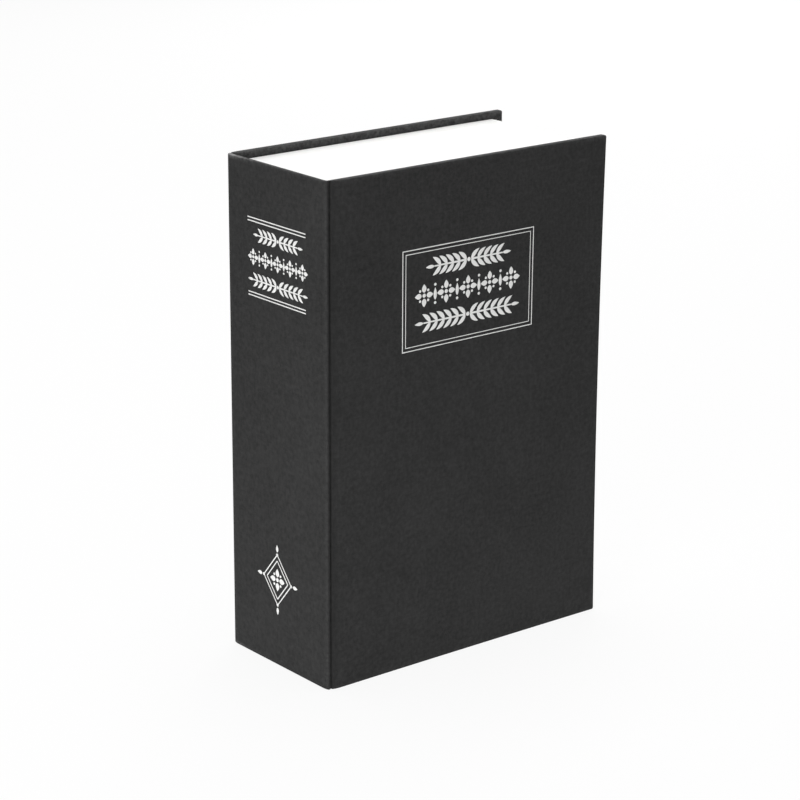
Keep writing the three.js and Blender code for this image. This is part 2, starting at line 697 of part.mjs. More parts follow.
// Housing: bezel, threaded barrel with flats, bore and counterbore for the plug, and the stop lug
// behind it. The lug stands where the washer's notch ends at rest.
function lockHousing() {
  const bezel = turned([
    [0, bezelFrontY],
    [BEZEL_RADIUS - BEZEL_CHAMFER, bezelFrontY],
    [BEZEL_RADIUS, bezelFrontY + BEZEL_CHAMFER],
    [BEZEL_RADIUS, bezelBackY],
    [0, bezelBackY],
  ]);
  const barrel = doubleD(0, bezelBackY - 0.2, barrelEndY);
  const lug = sector(
    STOP_LUG_INNER_RADIUS,
    BARREL_RADIUS,
    180 - STOP_LUG_WIDTH / 2,
    180 + STOP_LUG_WIDTH / 2,
    barrelEndY - 0.2,
    washerY + STOP_WASHER_THICKNESS,
  );
  const boreRadius = PLUG_RADIUS + PLUG_RUNNING_GAP;
  const headRadius = PLUG_HEAD_RADIUS + PLUG_RUNNING_GAP;
  const headEnd = bezelFrontY + PLUG_RECESS + PLUG_HEAD_THICKNESS + PLUG_RUNNING_GAP;
  const bore = cylinderAlongY(boreRadius, bezelFrontY - 1, barrelEndY + 1, 28);
  const counterbore = cylinderAlongY(headRadius, bezelFrontY - 1, headEnd, 28);
  return bezel.add(barrel).add(lug).subtract(bore).subtract(counterbore);
}

function lockNut() {
  const y0 = lidInnerY + GLUE_LINE;
  const hexagon = new THREE.CylinderGeometry(
    NUT_ACROSS_FLATS / Math.sqrt(3),
    NUT_ACROSS_FLATS / Math.sqrt(3),
    NUT_THICKNESS,
    6,
  );
  hexagon.translate(0, y0 + NUT_THICKNESS / 2, 0);
  const thread = cylinderAlongY(BARREL_RADIUS + BARREL_HOLE_CLEARANCE, y0 - 1, y0 + NUT_THICKNESS + 1, 28);
  return solid(hexagon).subtract(thread);
}

// Plug: headed cylinder with a warded keyway at the front and a square tail with a tapped hole
function lockPlug() {
  const front = bezelFrontY + PLUG_RECESS;
  const shoulder = barrelEndY + SEAT_GAP - GLUE_LINE;
  const turnedPlug = turned(
    [
      [0, front],
      [PLUG_HEAD_RADIUS, front],
      [PLUG_HEAD_RADIUS, front + PLUG_HEAD_THICKNESS],
      [PLUG_RADIUS, front + PLUG_HEAD_THICKNESS],
      [PLUG_RADIUS, shoulder],
      [0, shoulder],
    ],
    28,
  );
  const tail = squareDrive(0, shoulder - 1, camY + CAM_THICKNESS - GLUE_LINE);
  const halfWidth = KEYWAY_WIDTH / 2;
  const halfHeight = KEYWAY_HEIGHT / 2;
  const slot = box(-halfHeight, halfHeight, front - 1, front + KEYWAY_DEPTH, -halfWidth, halfWidth);
  const ward = box(0, halfHeight / 2, front - 1, front + KEYWAY_DEPTH, -halfWidth - KEYWAY_WARD, 0);
  const tapped = cylinderAlongY(
    CAM_SCREW_RADIUS + PLUG_RUNNING_GAP,
    camScrewY - CAM_SCREW_LENGTH - 1,
    camScrewY + 1,
    16,
  );
  return turnedPlug.add(tail).subtract(slot).subtract(ward).subtract(tapped);
}

// Stop washer: its notch runs past the housing's lug and limits the turn
function stopWasher() {
  const y1 = washerY + STOP_WASHER_THICKNESS;
  const halfLug = STOP_LUG_WIDTH / 2 + STOP_LUG_PLAY;
  const notch = sector(
    STOP_LUG_INNER_RADIUS - 2 * SEAT_GAP,
    STOP_WASHER_RADIUS + 1,
    180 - halfLug - LOCK_TURN,
    180 + halfLug,
    washerY - 1,
    y1 + 1,
  );
  return cylinderAlongY(STOP_WASHER_RADIUS, washerY, y1, 28)
    .subtract(notch)
    .subtract(squareDrive(CAM_SQUARE_GAP, washerY - 1, y1 + 1));
}

// Cam: a tapered arm with round ends. At rest it points to the head of the book, clear of the strike.
function cam() {
  const outline = new THREE.Shape();
  const tip = CAM_TIP_WIDTH / 2;
  outline.absarc(0, 0, CAM_TAIL, Math.PI, 2 * Math.PI);
  outline.lineTo(CAM_WIDTH / 2, CAM_TAIL);
  outline.absarc(0, CAM_REACH - tip, tip, 0, Math.PI);
  outline.lineTo(-CAM_WIDTH / 2, CAM_TAIL);
  outline.closePath();
  const y1 = camY + CAM_THICKNESS;
  return slabAlongY(outline, camY, y1).subtract(squareDrive(CAM_SQUARE_GAP, camY - 1, y1 + 1));
}

function camScrew() {
  const faceY = camScrewY + CAM_SCREW_HEAD_HEIGHT;
  const turnedScrew = turned(
    [
      [0, camScrewY - CAM_SCREW_LENGTH],
      [CAM_SCREW_RADIUS, camScrewY - CAM_SCREW_LENGTH],
      [CAM_SCREW_RADIUS, camScrewY],
      [CAM_SCREW_HEAD_RADIUS, camScrewY],
      [CAM_SCREW_HEAD_RADIUS, camScrewY + CAM_SCREW_HEAD_HEIGHT / 2],
      [CAM_SCREW_HEAD_RADIUS * 0.7, faceY],
      [0, faceY],
    ],
    16,
  );
  return turnedScrew.subtract(crossRecess(CAM_SCREW_HEAD_RADIUS, faceY - 2 * RECESS_DEPTH, faceY + 1));
}

piece(lock, 'lock_housing', lockHousing(), COLOURS.chrome);
piece(lock, 'lock_nut', lockNut(), COLOURS.steel);
piece(lock, 'lock_plug', lockPlug(), COLOURS.brass);
piece(lock, 'cam_stop_washer', stopWasher(), COLOURS.steel);
piece(lock, 'lock_cam', cam(), COLOURS.steel);
piece(lock, 'cam_screw', camScrew(), COLOURS.steel);

export default book;
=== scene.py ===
# A book safe: a steel strong box with a locking lid, in a white moulded frame that looks like a block
# of pages, inside a cloth-covered hardback case. Sizes are in the book's own millimetres: X from the
# spine to the fore-edge, Y from the front cover to the back cover, Z from the tail to the head.

import json

import bmesh
import bpy
import numpy as np
from mathutils import Matrix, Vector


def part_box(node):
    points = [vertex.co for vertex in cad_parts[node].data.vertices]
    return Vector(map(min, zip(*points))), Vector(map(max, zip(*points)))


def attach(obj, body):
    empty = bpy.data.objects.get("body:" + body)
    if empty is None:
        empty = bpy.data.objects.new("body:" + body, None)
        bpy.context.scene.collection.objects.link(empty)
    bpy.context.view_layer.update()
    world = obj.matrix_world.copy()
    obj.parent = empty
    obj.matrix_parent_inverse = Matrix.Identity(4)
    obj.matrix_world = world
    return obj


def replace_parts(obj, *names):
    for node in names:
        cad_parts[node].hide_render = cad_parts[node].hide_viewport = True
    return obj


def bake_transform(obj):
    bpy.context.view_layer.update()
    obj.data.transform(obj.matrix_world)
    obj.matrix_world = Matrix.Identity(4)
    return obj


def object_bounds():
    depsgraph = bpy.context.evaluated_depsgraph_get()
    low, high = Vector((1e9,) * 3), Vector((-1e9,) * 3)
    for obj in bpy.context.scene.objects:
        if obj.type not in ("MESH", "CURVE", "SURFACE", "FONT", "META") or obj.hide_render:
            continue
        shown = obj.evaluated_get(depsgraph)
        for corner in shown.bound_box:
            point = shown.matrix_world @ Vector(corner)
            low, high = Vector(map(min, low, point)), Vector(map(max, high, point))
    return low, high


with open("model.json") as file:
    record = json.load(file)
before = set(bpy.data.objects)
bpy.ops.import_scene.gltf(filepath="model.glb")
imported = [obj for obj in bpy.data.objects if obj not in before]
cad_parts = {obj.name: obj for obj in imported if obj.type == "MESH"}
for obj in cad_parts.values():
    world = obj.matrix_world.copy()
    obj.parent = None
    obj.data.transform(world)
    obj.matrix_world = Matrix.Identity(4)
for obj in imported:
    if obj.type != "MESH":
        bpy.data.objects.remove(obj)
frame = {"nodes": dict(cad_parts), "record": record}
cad_low, cad_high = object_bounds()


# Cover boards and spine board.
# Grey binder's board, cut from sheet. The two cover boards are 2 mm thick and the spine is 1 mm card.
# The front cover of a book that has been handled lifts a little at its fore-edge corners.

COVER_LIFT = 1.0
JOINT_ROLL = 3.8
JOINT_DIP = 1.05
ROLL_ACROSS = 2.85
ROLL_DEPTH = 0.85
CREST_DROP = 0.75
BOARD_EDGE_ROUND = 0.2
BOARD_COLOUR = (0.30, 0.27, 0.225, 1)
BOARD_DARK = (0.20, 0.18, 0.15, 1)

book_corner = np.array(cad_low)
book_width, book_thickness, book_height = np.round((np.array(cad_high) - book_corner) * 1000, 2)


def extent(node):
    """A CAD node's lowest and highest corners in the book's millimetres: metres from the book's
    corner, times 1000."""
    return [np.round((np.array(corner) - book_corner) * 1000, 3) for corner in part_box(node)]


joint_edge = extent("front_cover_cloth")[0][0]


def lift(x, z):
    """How far the front cover stands forward of its plane at x and z: the lift, times the square of
    the distance from the spine, times the square of the distance from mid-height, both as shares."""
    return -COVER_LIFT * (x / book_width) ** 2 * (2 * z / book_height - 1) ** 2


def joint_dip(x):
    """How far a cover's outer face dips at the joint: a quarter ellipse, as wide as the roll and as
    deep as the dip, that ends at the cloth's edge beside the joint."""
    share = np.clip((joint_edge + JOINT_ROLL - x) / JOINT_ROLL, 0, 1)
    return JOINT_DIP * (1 - np.sqrt(1 - share**2))


def spine_roll(inset):
    """How deep the spine lies behind its plane at this distance from its crest at either joint: a
    quarter ellipse, as long as the roll is across and as deep as the roll."""
    share = np.clip(1 - inset / ROLL_ACROSS, 0, 1)
    return ROLL_DEPTH * (1 - np.sqrt(1 - share**2))


def at_front(points):
    """Puts points on the front cover: y grows by the cover's lift at each point's x and z."""
    x, y, z = np.moveaxis(points, -1, 0)
    return np.stack([x, y + lift(x, z), z], -1)


def at_back(points):
    """Puts points on the back cover, which mirrors the front one: y becomes the thickness less y."""
    return points * [1, -1, 1] + [0, book_thickness, 0]


def grid_of(x, y, z):
    """A grid of points from arrays that broadcast to one shape: x, y and z side by side."""
    return np.stack(np.broadcast_arrays(x, y, z), -1).astype(float)


def layers(front, back, rims, first=0):
    """Quads of a sheet with two faces: each cell of the front grid, each cell of the back grid turned
    round, and a strip between the two along each border that rims names. The grids hold rows by
    columns, and point numbers run row by row, the front grid's before the back grid's."""
    rows, columns = front.shape[:2]
    face = first + np.arange(rows * columns).reshape(rows, columns)
    under = face + rows * columns
    cells = [
        np.stack([grid[:-1, :-1], grid[:-1, 1:], grid[1:, 1:], grid[1:, :-1]], -1).reshape(-1, 4)
        for grid in (face, under[:, ::-1])
    ]
    borders = {
        "first_row": (face[0], under[0]),
        "last_row": (face[-1, ::-1], under[-1, ::-1]),
        "first_column": (face[::-1, 0], under[::-1, 0]),
        "last_column": (face[:, -1], under[:, -1]),
    }
    for border in rims:
        edge, below = borders[border]
        cells.append(np.stack([edge[1:], edge[:-1], below[:-1], below[1:]], -1))
    return np.concatenate(cells)


ALL_RIMS = ("first_row", "last_row", "first_column", "last_column")
SAME_POINT = 1e-7
SHARP_ANGLE = 40
FOLD_ANGLE = 35
scene = bpy.context.scene


def read_all(elements, what, width=1, kind=float):
    """One property of all of a mesh's elements: an array, with a row for each if it is wider than 1."""
    values = np.empty(len(elements) * width, kind)
    elements.foreach_get(what, values)
    return values.reshape(-1, width) if width > 1 else values


def new_piece(name, mesh, material, clean):
    """Makes a piece from a mesh, shaded smooth, after the function clean has worked on it."""
    work = bmesh.new()
    work.from_mesh(mesh)
    clean(work)
    work.to_mesh(mesh)
    work.free()
    mesh.shade_smooth()
    mesh.materials.append(material)
    piece = bpy.data.objects.new(name, mesh)
    scene.collection.objects.link(piece)
    return piece


def join_points(work):
    """Joins the points of a mesh that lie at one place."""
    bmesh.ops.remove_doubles(work, verts=work.verts, dist=SAME_POINT)


def sheet_piece(name, sheets, material, marks=None):
    """A closed piece made of one or more two-faced sheets. Each sheet is a front grid, a back grid
    and its rims. The faces point outwards: if the signed volume, a sixth of the sum over triangles
    of a . (b x c), is negative, every face is turned. marks maps an attribute's name to its values,
    one array per grid or one for both; 'sheet' is the cloth's flat place, and becomes a UV map."""
    points, quads = [], []
    for front, back, rims in sheets:
        quads.append(layers(front, back, rims, sum(len(p) for p in points)))
        points += [front.reshape(-1, 3), back.reshape(-1, 3)]
    points, quads = np.concatenate(points), np.concatenate(quads)
    a, b, c, d = (points[quads[:, k]] for k in range(4))
    volume = np.sum(a * np.cross(b, c)) + np.sum(a * np.cross(c, d))
    if volume < 0:
        quads = quads[:, ::-1]
    mesh = bpy.data.meshes.new(name)
    mesh.from_pydata((points / 1000 + book_corner).tolist(), [], quads.tolist())
    for mark, values in (marks or {}).items():
        each = values if isinstance(values, list) else [values, values]
        if mark == "sheet":
            flat = np.concatenate([array.reshape(-1, 2) for array in each])
            corners = read_all(mesh.loops, "vertex_index", kind=np.int32)
            mesh.uv_layers.new(name=mark).uv.foreach_set("vector", flat[corners].ravel())
        else:
            shares = np.concatenate([array.ravel() for array in each])
            mesh.attributes.new(mark, "FLOAT", "POINT").data.foreach_set("value", shares)
    piece = new_piece(name, mesh, material, join_points)
    mesh.set_sharp_from_angle(angle=np.radians(SHARP_ANGLE))
    return piece


def rounded(piece, width):
    """Rounds a piece's folds with a bevel of this width in millimetres, and keeps its flats flat. The
    result is written into the mesh."""
    bevel = piece.modifiers.new("rounding", "BEVEL")
    bevel.width = width / 1000
    bevel.segments = 2
    bevel.limit_method = "ANGLE"
    bevel.angle_limit = np.radians(FOLD_ANGLE)
    bevel.harden_normals = True
    bpy.context.view_layer.update()
    evaluated = piece.evaluated_get(bpy.context.evaluated_depsgraph_get())
    mesh = bpy.data.meshes.new_from_object(evaluated)
    piece.modifiers.clear()
    piece.data = mesh
    return piece


def node_in(tree, kind, inputs=None, **settings):
    """Adds a shader node. settings are its properties. inputs maps a socket's name or number to a
    value, or to another node's output."""
    node = tree.nodes.new(kind)
    for setting, value in settings.items():
        setattr(node, setting, value)
    for socket, value in (inputs or {}).items():
        if isinstance(value, bpy.types.NodeSocket):
            tree.links.new(value, node.inputs[socket])
        else:
            node.inputs[socket].default_value = value
    return node


def maths(tree, operation, *values):
    """Adds a Math node and returns its output."""
    return node_in(tree, "ShaderNodeMath", dict(enumerate(values)), operation=operation).outputs[0]


def mixed(tree, share, first, second):
    """Adds a colour mix and returns its output: first where share is 0, second where it is 1."""
    mix = node_in(tree, "ShaderNodeMix", {0: share, 6: first, 7: second}, data_type="RGBA")
    return mix.outputs[2]


def new_group(name, inputs, outputs):
    """Starts a node group. inputs maps each input's name to its default number, or to 'vector'."""
    tree = bpy.data.node_groups.new(name, "ShaderNodeTree")
    for socket, default in inputs.items():
        kind = "NodeSocketVector" if default == "vector" else "NodeSocketFloat"
        made = tree.interface.new_socket(name=socket, in_out="INPUT", socket_type=kind)
        if default != "vector":
            made.default_value = default
    for socket in outputs:
        tree.interface.new_socket(name=socket, in_out="OUTPUT", socket_type="NodeSocketFloat")
    return tree, tree.nodes.new("NodeGroupInput").outputs, tree.nodes.new("NodeGroupOutput").inputs


def group_in(tree, group, inputs):
    """Places a node group in a material and returns its outputs."""
    return node_in(tree, "ShaderNodeGroup", inputs, node_tree=group).outputs


def new_material(name, **sockets):
    """A material with a Principled shader: returns it, its tree, the shader's inputs and the Object
    coordinates. sockets gives what is the same all over, by the input's name with underscores for
    its spaces."""
    material = bpy.data.materials.new(name)
    material.use_nodes = True
    tree = material.node_tree
    shader = tree.nodes["Principled BSDF"].inputs
    for socket, value in sockets.items():
        shader[socket.replace("_", " ")].default_value = value
    return material, tree, shader, node_in(tree, "ShaderNodeTexCoord").outputs["Object"]


def finish_in(tree, shader, colour, height, depth, strength=1.0):
    """Gives a shader its colour, and its relief by a Bump node: a height of 0 to 1 stands for this
    depth in millimetres."""
    relief = {"Height": height, "Distance": depth / 1000, "Strength": strength}
    tree.links.new(colour, shader["Base Color"])
    tree.links.new(node_in(tree, "ShaderNodeBump", relief).outputs["Normal"], shader["Normal"])


# Fine grain, used by every finish here: a noise of this size in millimetres, with three finer ones,
# each half as large as the one before, as a height, and a broad cloudy noise as a change of tone.
grain, grain_in, grain_out = new_group(
    "fine grain",
    {"Place": "vector", "Size": 1.0, "Roughness": 0.5, "Cloud Size": 20.0},
    ("Height", "Tone"),
)
to_millimetres = {0: grain_in["Place"], "Scale": 1000.0}
place = node_in(grain, "ShaderNodeVectorMath", to_millimetres, operation="SCALE").outputs[0]
for result, size, settings in (
    ("Height", "Size", {"Detail": 3.0, "Roughness": grain_in["Roughness"]}),
    ("Tone", "Cloud Size", {"Detail": 2.0}),
):
    inputs = {"Vector": place, "Scale": maths(grain, "DIVIDE", 1.0, grain_in[size]), **settings}
    grain.links.new(node_in(grain, "ShaderNodeTexNoise", inputs).outputs[0], grain_out[result])


def board_material():
    """Grey board: short fibres in two tones, with a soft felted surface."""
    material, tree, shader, place = new_material("grey board", Roughness=0.95, Specular_IOR_Level=0.2)
    fibres = group_in(tree, grain, {"Place": place, "Size": 0.5, "Roughness": 0.75, "Cloud Size": 6.0})
    colour = mixed(tree, fibres["Height"], BOARD_DARK, BOARD_COLOUR)
    finish_in(tree, shader, colour, fibres["Height"], 0.08)
    return material


board = board_material()


def cover_board():
    """The front cover's board as two grids over X and Z, at the depths of its CAD node. Its outer
    face is eased by the joint's dip."""
    low, high = extent("front_cover_board")
    near_joint = low[0] + np.array([0, 0.2, 0.5, 0.9, 1.4, 2.2, 3.4])
    x = np.concatenate([near_joint, np.linspace(near_joint[-1], high[0], 13)[1:]])[None, :]
    z = np.linspace(low[2], high[2], 17)[:, None]
    return grid_of(x, low[1] + joint_dip(x), z), grid_of(x, high[1], z)


def spine_card():
    """The spine's card as its two faces over Y and Z. Its long edges stop under the cloth's crests,
    and its outer face is eased to follow the cloth's roll."""
    low, high = extent("spine_board")
    crest = extent("spine_cloth")[0][1] + CREST_DROP
    inset = np.array([0.45, 0.7, 1.0, 1.5, 2.1, 2.85])
    y = np.concatenate([crest + inset, book_thickness - crest - inset[::-1]])[None, :]
    z = np.linspace(low[2], high[2], 2)[:, None]
    outside = low[0] + spine_roll(np.minimum(y - crest, book_thickness - crest - y))
    return grid_of(outside, y, z), grid_of(high[0], y, z)


# side, how points are put there, body
SIDES = (("front", at_front, "front_cover"), ("back", at_back, "case"))

outer, inner = cover_board()
for side, placed, body in SIDES:
    piece = sheet_piece(f"{side}_board", [(placed(outer), placed(inner), ALL_RIMS)], board)
    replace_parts(rounded(piece, BOARD_EDGE_ROUND), f"{side}_cover_board")
    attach(piece, body)

outer, inner = spine_card()
spine_stiffener = sheet_piece("spine_stiffener", [(outer, inner, ALL_RIMS)], board)
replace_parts(rounded(spine_stiffener, BOARD_EDGE_ROUND), "spine_board")
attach(spine_stiffener, "case")


# Bookcloth over the two covers.
# Dark charcoal cotton with a fine linen grain and a filled back. It is glued over each board, wrapped
# round its head, tail and fore-edge and turned in 12 mm, and it dips into the joint beside the spine.
# Painted shade darkens it beside the joint and along the tail that it stands on and its fore-edge,
# and wear and painted highlights lighten its edges.

CLOTH = 0.3
CLOTH_EDGE_ROUND = 0.5
COVER_CORNER = 0.7
TURN_IN = 12.0
THREAD_PITCH = 0.42
CLOTH_COLOUR = (0.0250, 0.0250, 0.0250, 1)
CLOTH_DARK = (0.0155, 0.0155, 0.0155, 1)
CLOTH_LIGHT = (0.0355, 0.0355, 0.0355, 1)
# The colour of the cloth's lighter edges: wear, and painted highlights where light catches them.
CLOTH_WEAR_AND_HIGHLIGHT = (0.240, 0.240, 0.240, 1)
# The colour of painted shade, towards which the cloth is darkened.
CLOTH_PAINTED_SHADE = (0.0095, 0.0095, 0.0095, 1)
CUT_EDGE_DROP = 0.12
# Lighter along the head, tail and fore-edge: wear and a painted highlight.
EDGE_WEAR_AND_HIGHLIGHT = 0.08
EDGE_WEAR_AND_HIGHLIGHT_RUN = 0.6
EDGE_WEAR_AND_HIGHLIGHT_WIDTH = 1.1
CORNER_RUB = 0.4
CORNER_REACH = 6
# A painted highlight along the fold where the cloth turns in over the board's edge.
TURN_IN_HIGHLIGHT = 0.34
TURN_IN_HIGHLIGHT_WIDTH = 1.9
# Painted shade beside the joint, on each cover's cloth.
JOINT_PAINTED_SHADE = 0.38
JOINT_PAINTED_SHADE_WIDTH = 1.6
# Painted shade along the edges: a painted shadow at the tail that the book stands on, and painted shade on
# the fore-edge's rounding, which turns away from the light.
EDGE_PAINTED_SHADE = 0.55
EDGE_PAINTED_SHADE_WIDTH = 0.5

cover_depth = extent("front_cover_cloth")[1][1]

# Plain weave, used by the cloth and by the foil that is pressed into it. Warp threads run up the
# book and weft threads across it. Where the sines of both thread counts agree in sign the warp is on
# top, and its height is its own roundness times a part of the other's. Slubs are a noise per thread.
weave, weave_in, weave_out = new_group(
    "plain weave", {"Sheet": "vector", "Pitch": 0.4, "Slub Length": 9.0}, ("Height", "Tone")
)
across = node_in(weave, "ShaderNodeSeparateXYZ", {0: weave_in["Sheet"]}).outputs
counts = [maths(weave, "DIVIDE", across[k], weave_in["Pitch"]) for k in (0, 1)]
waves = [maths(weave, "SINE", maths(weave, "MULTIPLY", count, np.pi)) for count in counts]
crowns = [maths(weave, "ABSOLUTE", wave) for wave in waves]
warp_on_top = maths(weave, "GREATER_THAN", maths(weave, "MULTIPLY", *waves), 0.0)
crests, slubs = [], []
for own in (0, 1):
    other = 1 - own
    arch = maths(weave, "MULTIPLY_ADD", crowns[other], 0.45, 0.55)
    crests.append(maths(weave, "MULTIPLY", crowns[own], arch))
    thread = maths(weave, "MULTIPLY", maths(weave, "FLOOR", counts[own]), 7.31 + own)
    along = maths(weave, "DIVIDE", across[other], weave_in["Slub Length"])
    lane = node_in(weave, "ShaderNodeCombineXYZ", {0: thread, 1: along, 2: 11.0 * own})
    slub = node_in(weave, "ShaderNodeTexNoise", {"Vector": lane.outputs[0], "Scale": 1.0, "Detail": 2.0})
    slubs.append(slub.outputs[0])


def by_thread(first, second):
    """Adds a mix of two numbers in the weave: the second where the warp is on top."""
    mix = node_in(weave, "ShaderNodeMix", {0: warp_on_top, 2: first, 3: second})
    return mix.outputs[0]


crest = by_thread(crests[1], crests[0])
slub = by_thread(slubs[1], slubs[0])
thickness = maths(weave, "MULTIPLY_ADD", slub, 0.9, 0.45)
weave.links.new(maths(weave, "MULTIPLY", crest, thickness), weave_out["Height"])
# The tone: a slub noise per thread, and a painted highlight on the threads' crowns.
shade = maths(weave, "MULTIPLY", slub, 0.8)
weave.links.new(maths(weave, "MULTIPLY_ADD", crest, 0.35, shade), weave_out["Tone"])

# Edge rub, used by the cloth and by the coated steel: where the piece's own edge mark is high, a
# noise lets lighter patches through: wear on the coated steel, wear and painted highlights on the cloth.
rub, rub_in, rub_out = new_group("edge rub", {"Place": "vector", "Edge": 0.0, "Size": 2.0}, ("Worn",))
patches = group_in(rub, grain, {"Place": rub_in["Place"], "Size": rub_in["Size"], "Roughness": 0.6})
lightened = maths(rub, "MULTIPLY", rub_in["Edge"], maths(rub, "MULTIPLY_ADD", patches["Height"], 2.4, -0.65))
rub.links.new(node_in(rub, "ShaderNodeClamp", {0: lightened}).outputs[0], rub_out["Worn"])


def woven(tree):
    """Places the weave on the cloth's flat place and returns its outputs."""
    lie = node_in(tree, "ShaderNodeUVMap", uv_map="sheet").outputs[0]
    return group_in(tree, weave, {"Sheet": lie, "Pitch": THREAD_PITCH})


def cloth_material():
    """Bookcloth: the weave's threads in three greys, soft mottling from the filler, edges lightened by
    wear and by painted highlights, and painted shade beside the joint and along the tail and fore-edge."""
    material, tree, shader, place = new_material(
        "charcoal bookcloth", Roughness=0.85, Specular_IOR_Level=0.08
    )
    edge = node_in(tree, "ShaderNodeAttribute", attribute_name="edge").outputs["Fac"]
    painted_shade = node_in(tree, "ShaderNodeAttribute", attribute_name="painted_shade").outputs["Fac"]
    threads = woven(tree)
    filler = group_in(tree, grain, {"Place": place, "Size": 1.3, "Roughness": 0.6, "Cloud Size": 30.0})
    clouds = maths(tree, "MULTIPLY", filler["Tone"], 0.5)
    blotch = maths(tree, "MULTIPLY_ADD", filler["Height"], 1.5, clouds)
    # The threads' tone carries the painted highlight on their crowns.
    tone = maths(tree, "MULTIPLY_ADD", threads["Tone"], 0.8, maths(tree, "SUBTRACT", blotch, 0.9))
    ramp = node_in(tree, "ShaderNodeValToRGB", {0: tone})
    ramp.color_ramp.elements[0].color = CLOTH_DARK
    ramp.color_ramp.elements[1].color = CLOTH_LIGHT
    ramp.color_ramp.elements.new(0.5).color = CLOTH_COLOUR
    # The edge mark lightens the cloth with wear and with painted highlights.
    lightened = group_in(tree, rub, {"Place": place, "Edge": edge, "Size": 1.2})["Worn"]
    rubbed = mixed(tree, lightened, ramp.outputs[0], CLOTH_WEAR_AND_HIGHLIGHT)
    # Where the darkening mark is high, the cloth takes the colour of painted shade.
    finish_in(tree, shader, mixed(tree, painted_shade, rubbed, CLOTH_PAINTED_SHADE), threads["Height"], 0.06, 0.8)
    return material


cloth = cloth_material()


def bell(distance, width):
    """A bell curve of a distance: 1 at no distance, and 1 / e at the width."""
    return np.exp(-((distance / width) ** 2))


def quarter(steps):
    """Angles from 0 to 90 degrees, without the first."""
    return np.linspace(0, np.pi / 2, steps + 1)[1:]


def wrap_profile(face, depth, radius):
    """The cloth's line across a board's edge, as inset from the edge, depth from the outer face, the
    angle that it has turned and its run along the cloth from the edge. face gives the insets on the
    outer face. A quarter circle leads to the edge and another one to the turn-in, which ends in a
    small step down."""
    turn = quarter(5)
    falling, growing = radius * (1 - np.sin(turn)), radius * (1 - np.cos(turn))
    side = np.array([depth / 2])
    inside = np.array([1.6, 4.0, 8.0, TURN_IN - 0.25, TURN_IN])
    inset = [face, [radius], falling, 0 * side, growing, inside]
    down = [0 * face, [0], growing, side, depth - falling, 0 * inside + depth]
    angle = [0 * face, [0], turn, 0 * side + np.pi / 2, np.pi / 2 + turn, 0 * inside + np.pi]
    inset, down, angle = (np.concatenate(part) for part in (inset, down, angle))
    down[-1] -= CUT_EDGE_DROP
    steps = np.hypot(np.diff(inset), np.diff(down))
    run = np.concatenate([[0], np.cumsum(steps)]) - inset[0]
    return inset, down, angle, run


JOINT_COLUMNS = joint_edge + np.array([0, 0.04, 0.15, 0.35, 0.6, 0.95, 1.5, 2.2, 3.1, 4.2])


def cover_lines(inset):
    """Lines round a cover, each at its inset from the edges: from the joint along the tail, round the
    corner, up the fore-edge and back along the head. Returns their X and Z, rows by columns, and
    each column's outward direction. A corner's radius is the cover's, less the inset."""
    inset = inset[:, None]
    corner = np.maximum(COVER_CORNER - inset, 0)
    end = book_width - inset - corner
    ends = np.ones_like(end)
    share = np.linspace(0, 1, 14)[None, 1:]
    start = JOINT_COLUMNS[-1]
    turn = quarter(6)[None, :] - np.pi / 2
    rise = np.linspace(0, 1, 13)[None, 1:]
    first_z = inset + corner
    x = [JOINT_COLUMNS * ends, start + (end - start) * share]
    x += [end + corner * np.cos(turn), (end + corner) * np.ones_like(rise)]
    z = [inset * np.ones((1, JOINT_COLUMNS.size)), inset * np.ones_like(share)]
    z += [first_z + corner * np.sin(turn), first_z + (book_height / 2 - first_z) * rise]
    along_tail = np.zeros(JOINT_COLUMNS.size + share.size)
    outward_x = np.concatenate([along_tail, np.cos(turn[0]), np.ones(rise.size)])
    outward_z = np.concatenate([along_tail - 1, np.sin(turn[0]), np.zeros(rise.size)])
    x, z = np.concatenate(x, 1), np.concatenate(z, 1)
    x = np.concatenate([x, x[:, -2::-1]], 1)
    z = np.concatenate([z, book_height - z[:, -2::-1]], 1)
    outward_x = np.concatenate([outward_x, outward_x[-2::-1]])
    outward_z = np.concatenate([outward_z, -outward_z[-2::-1]])
    return x, z, outward_x, outward_z


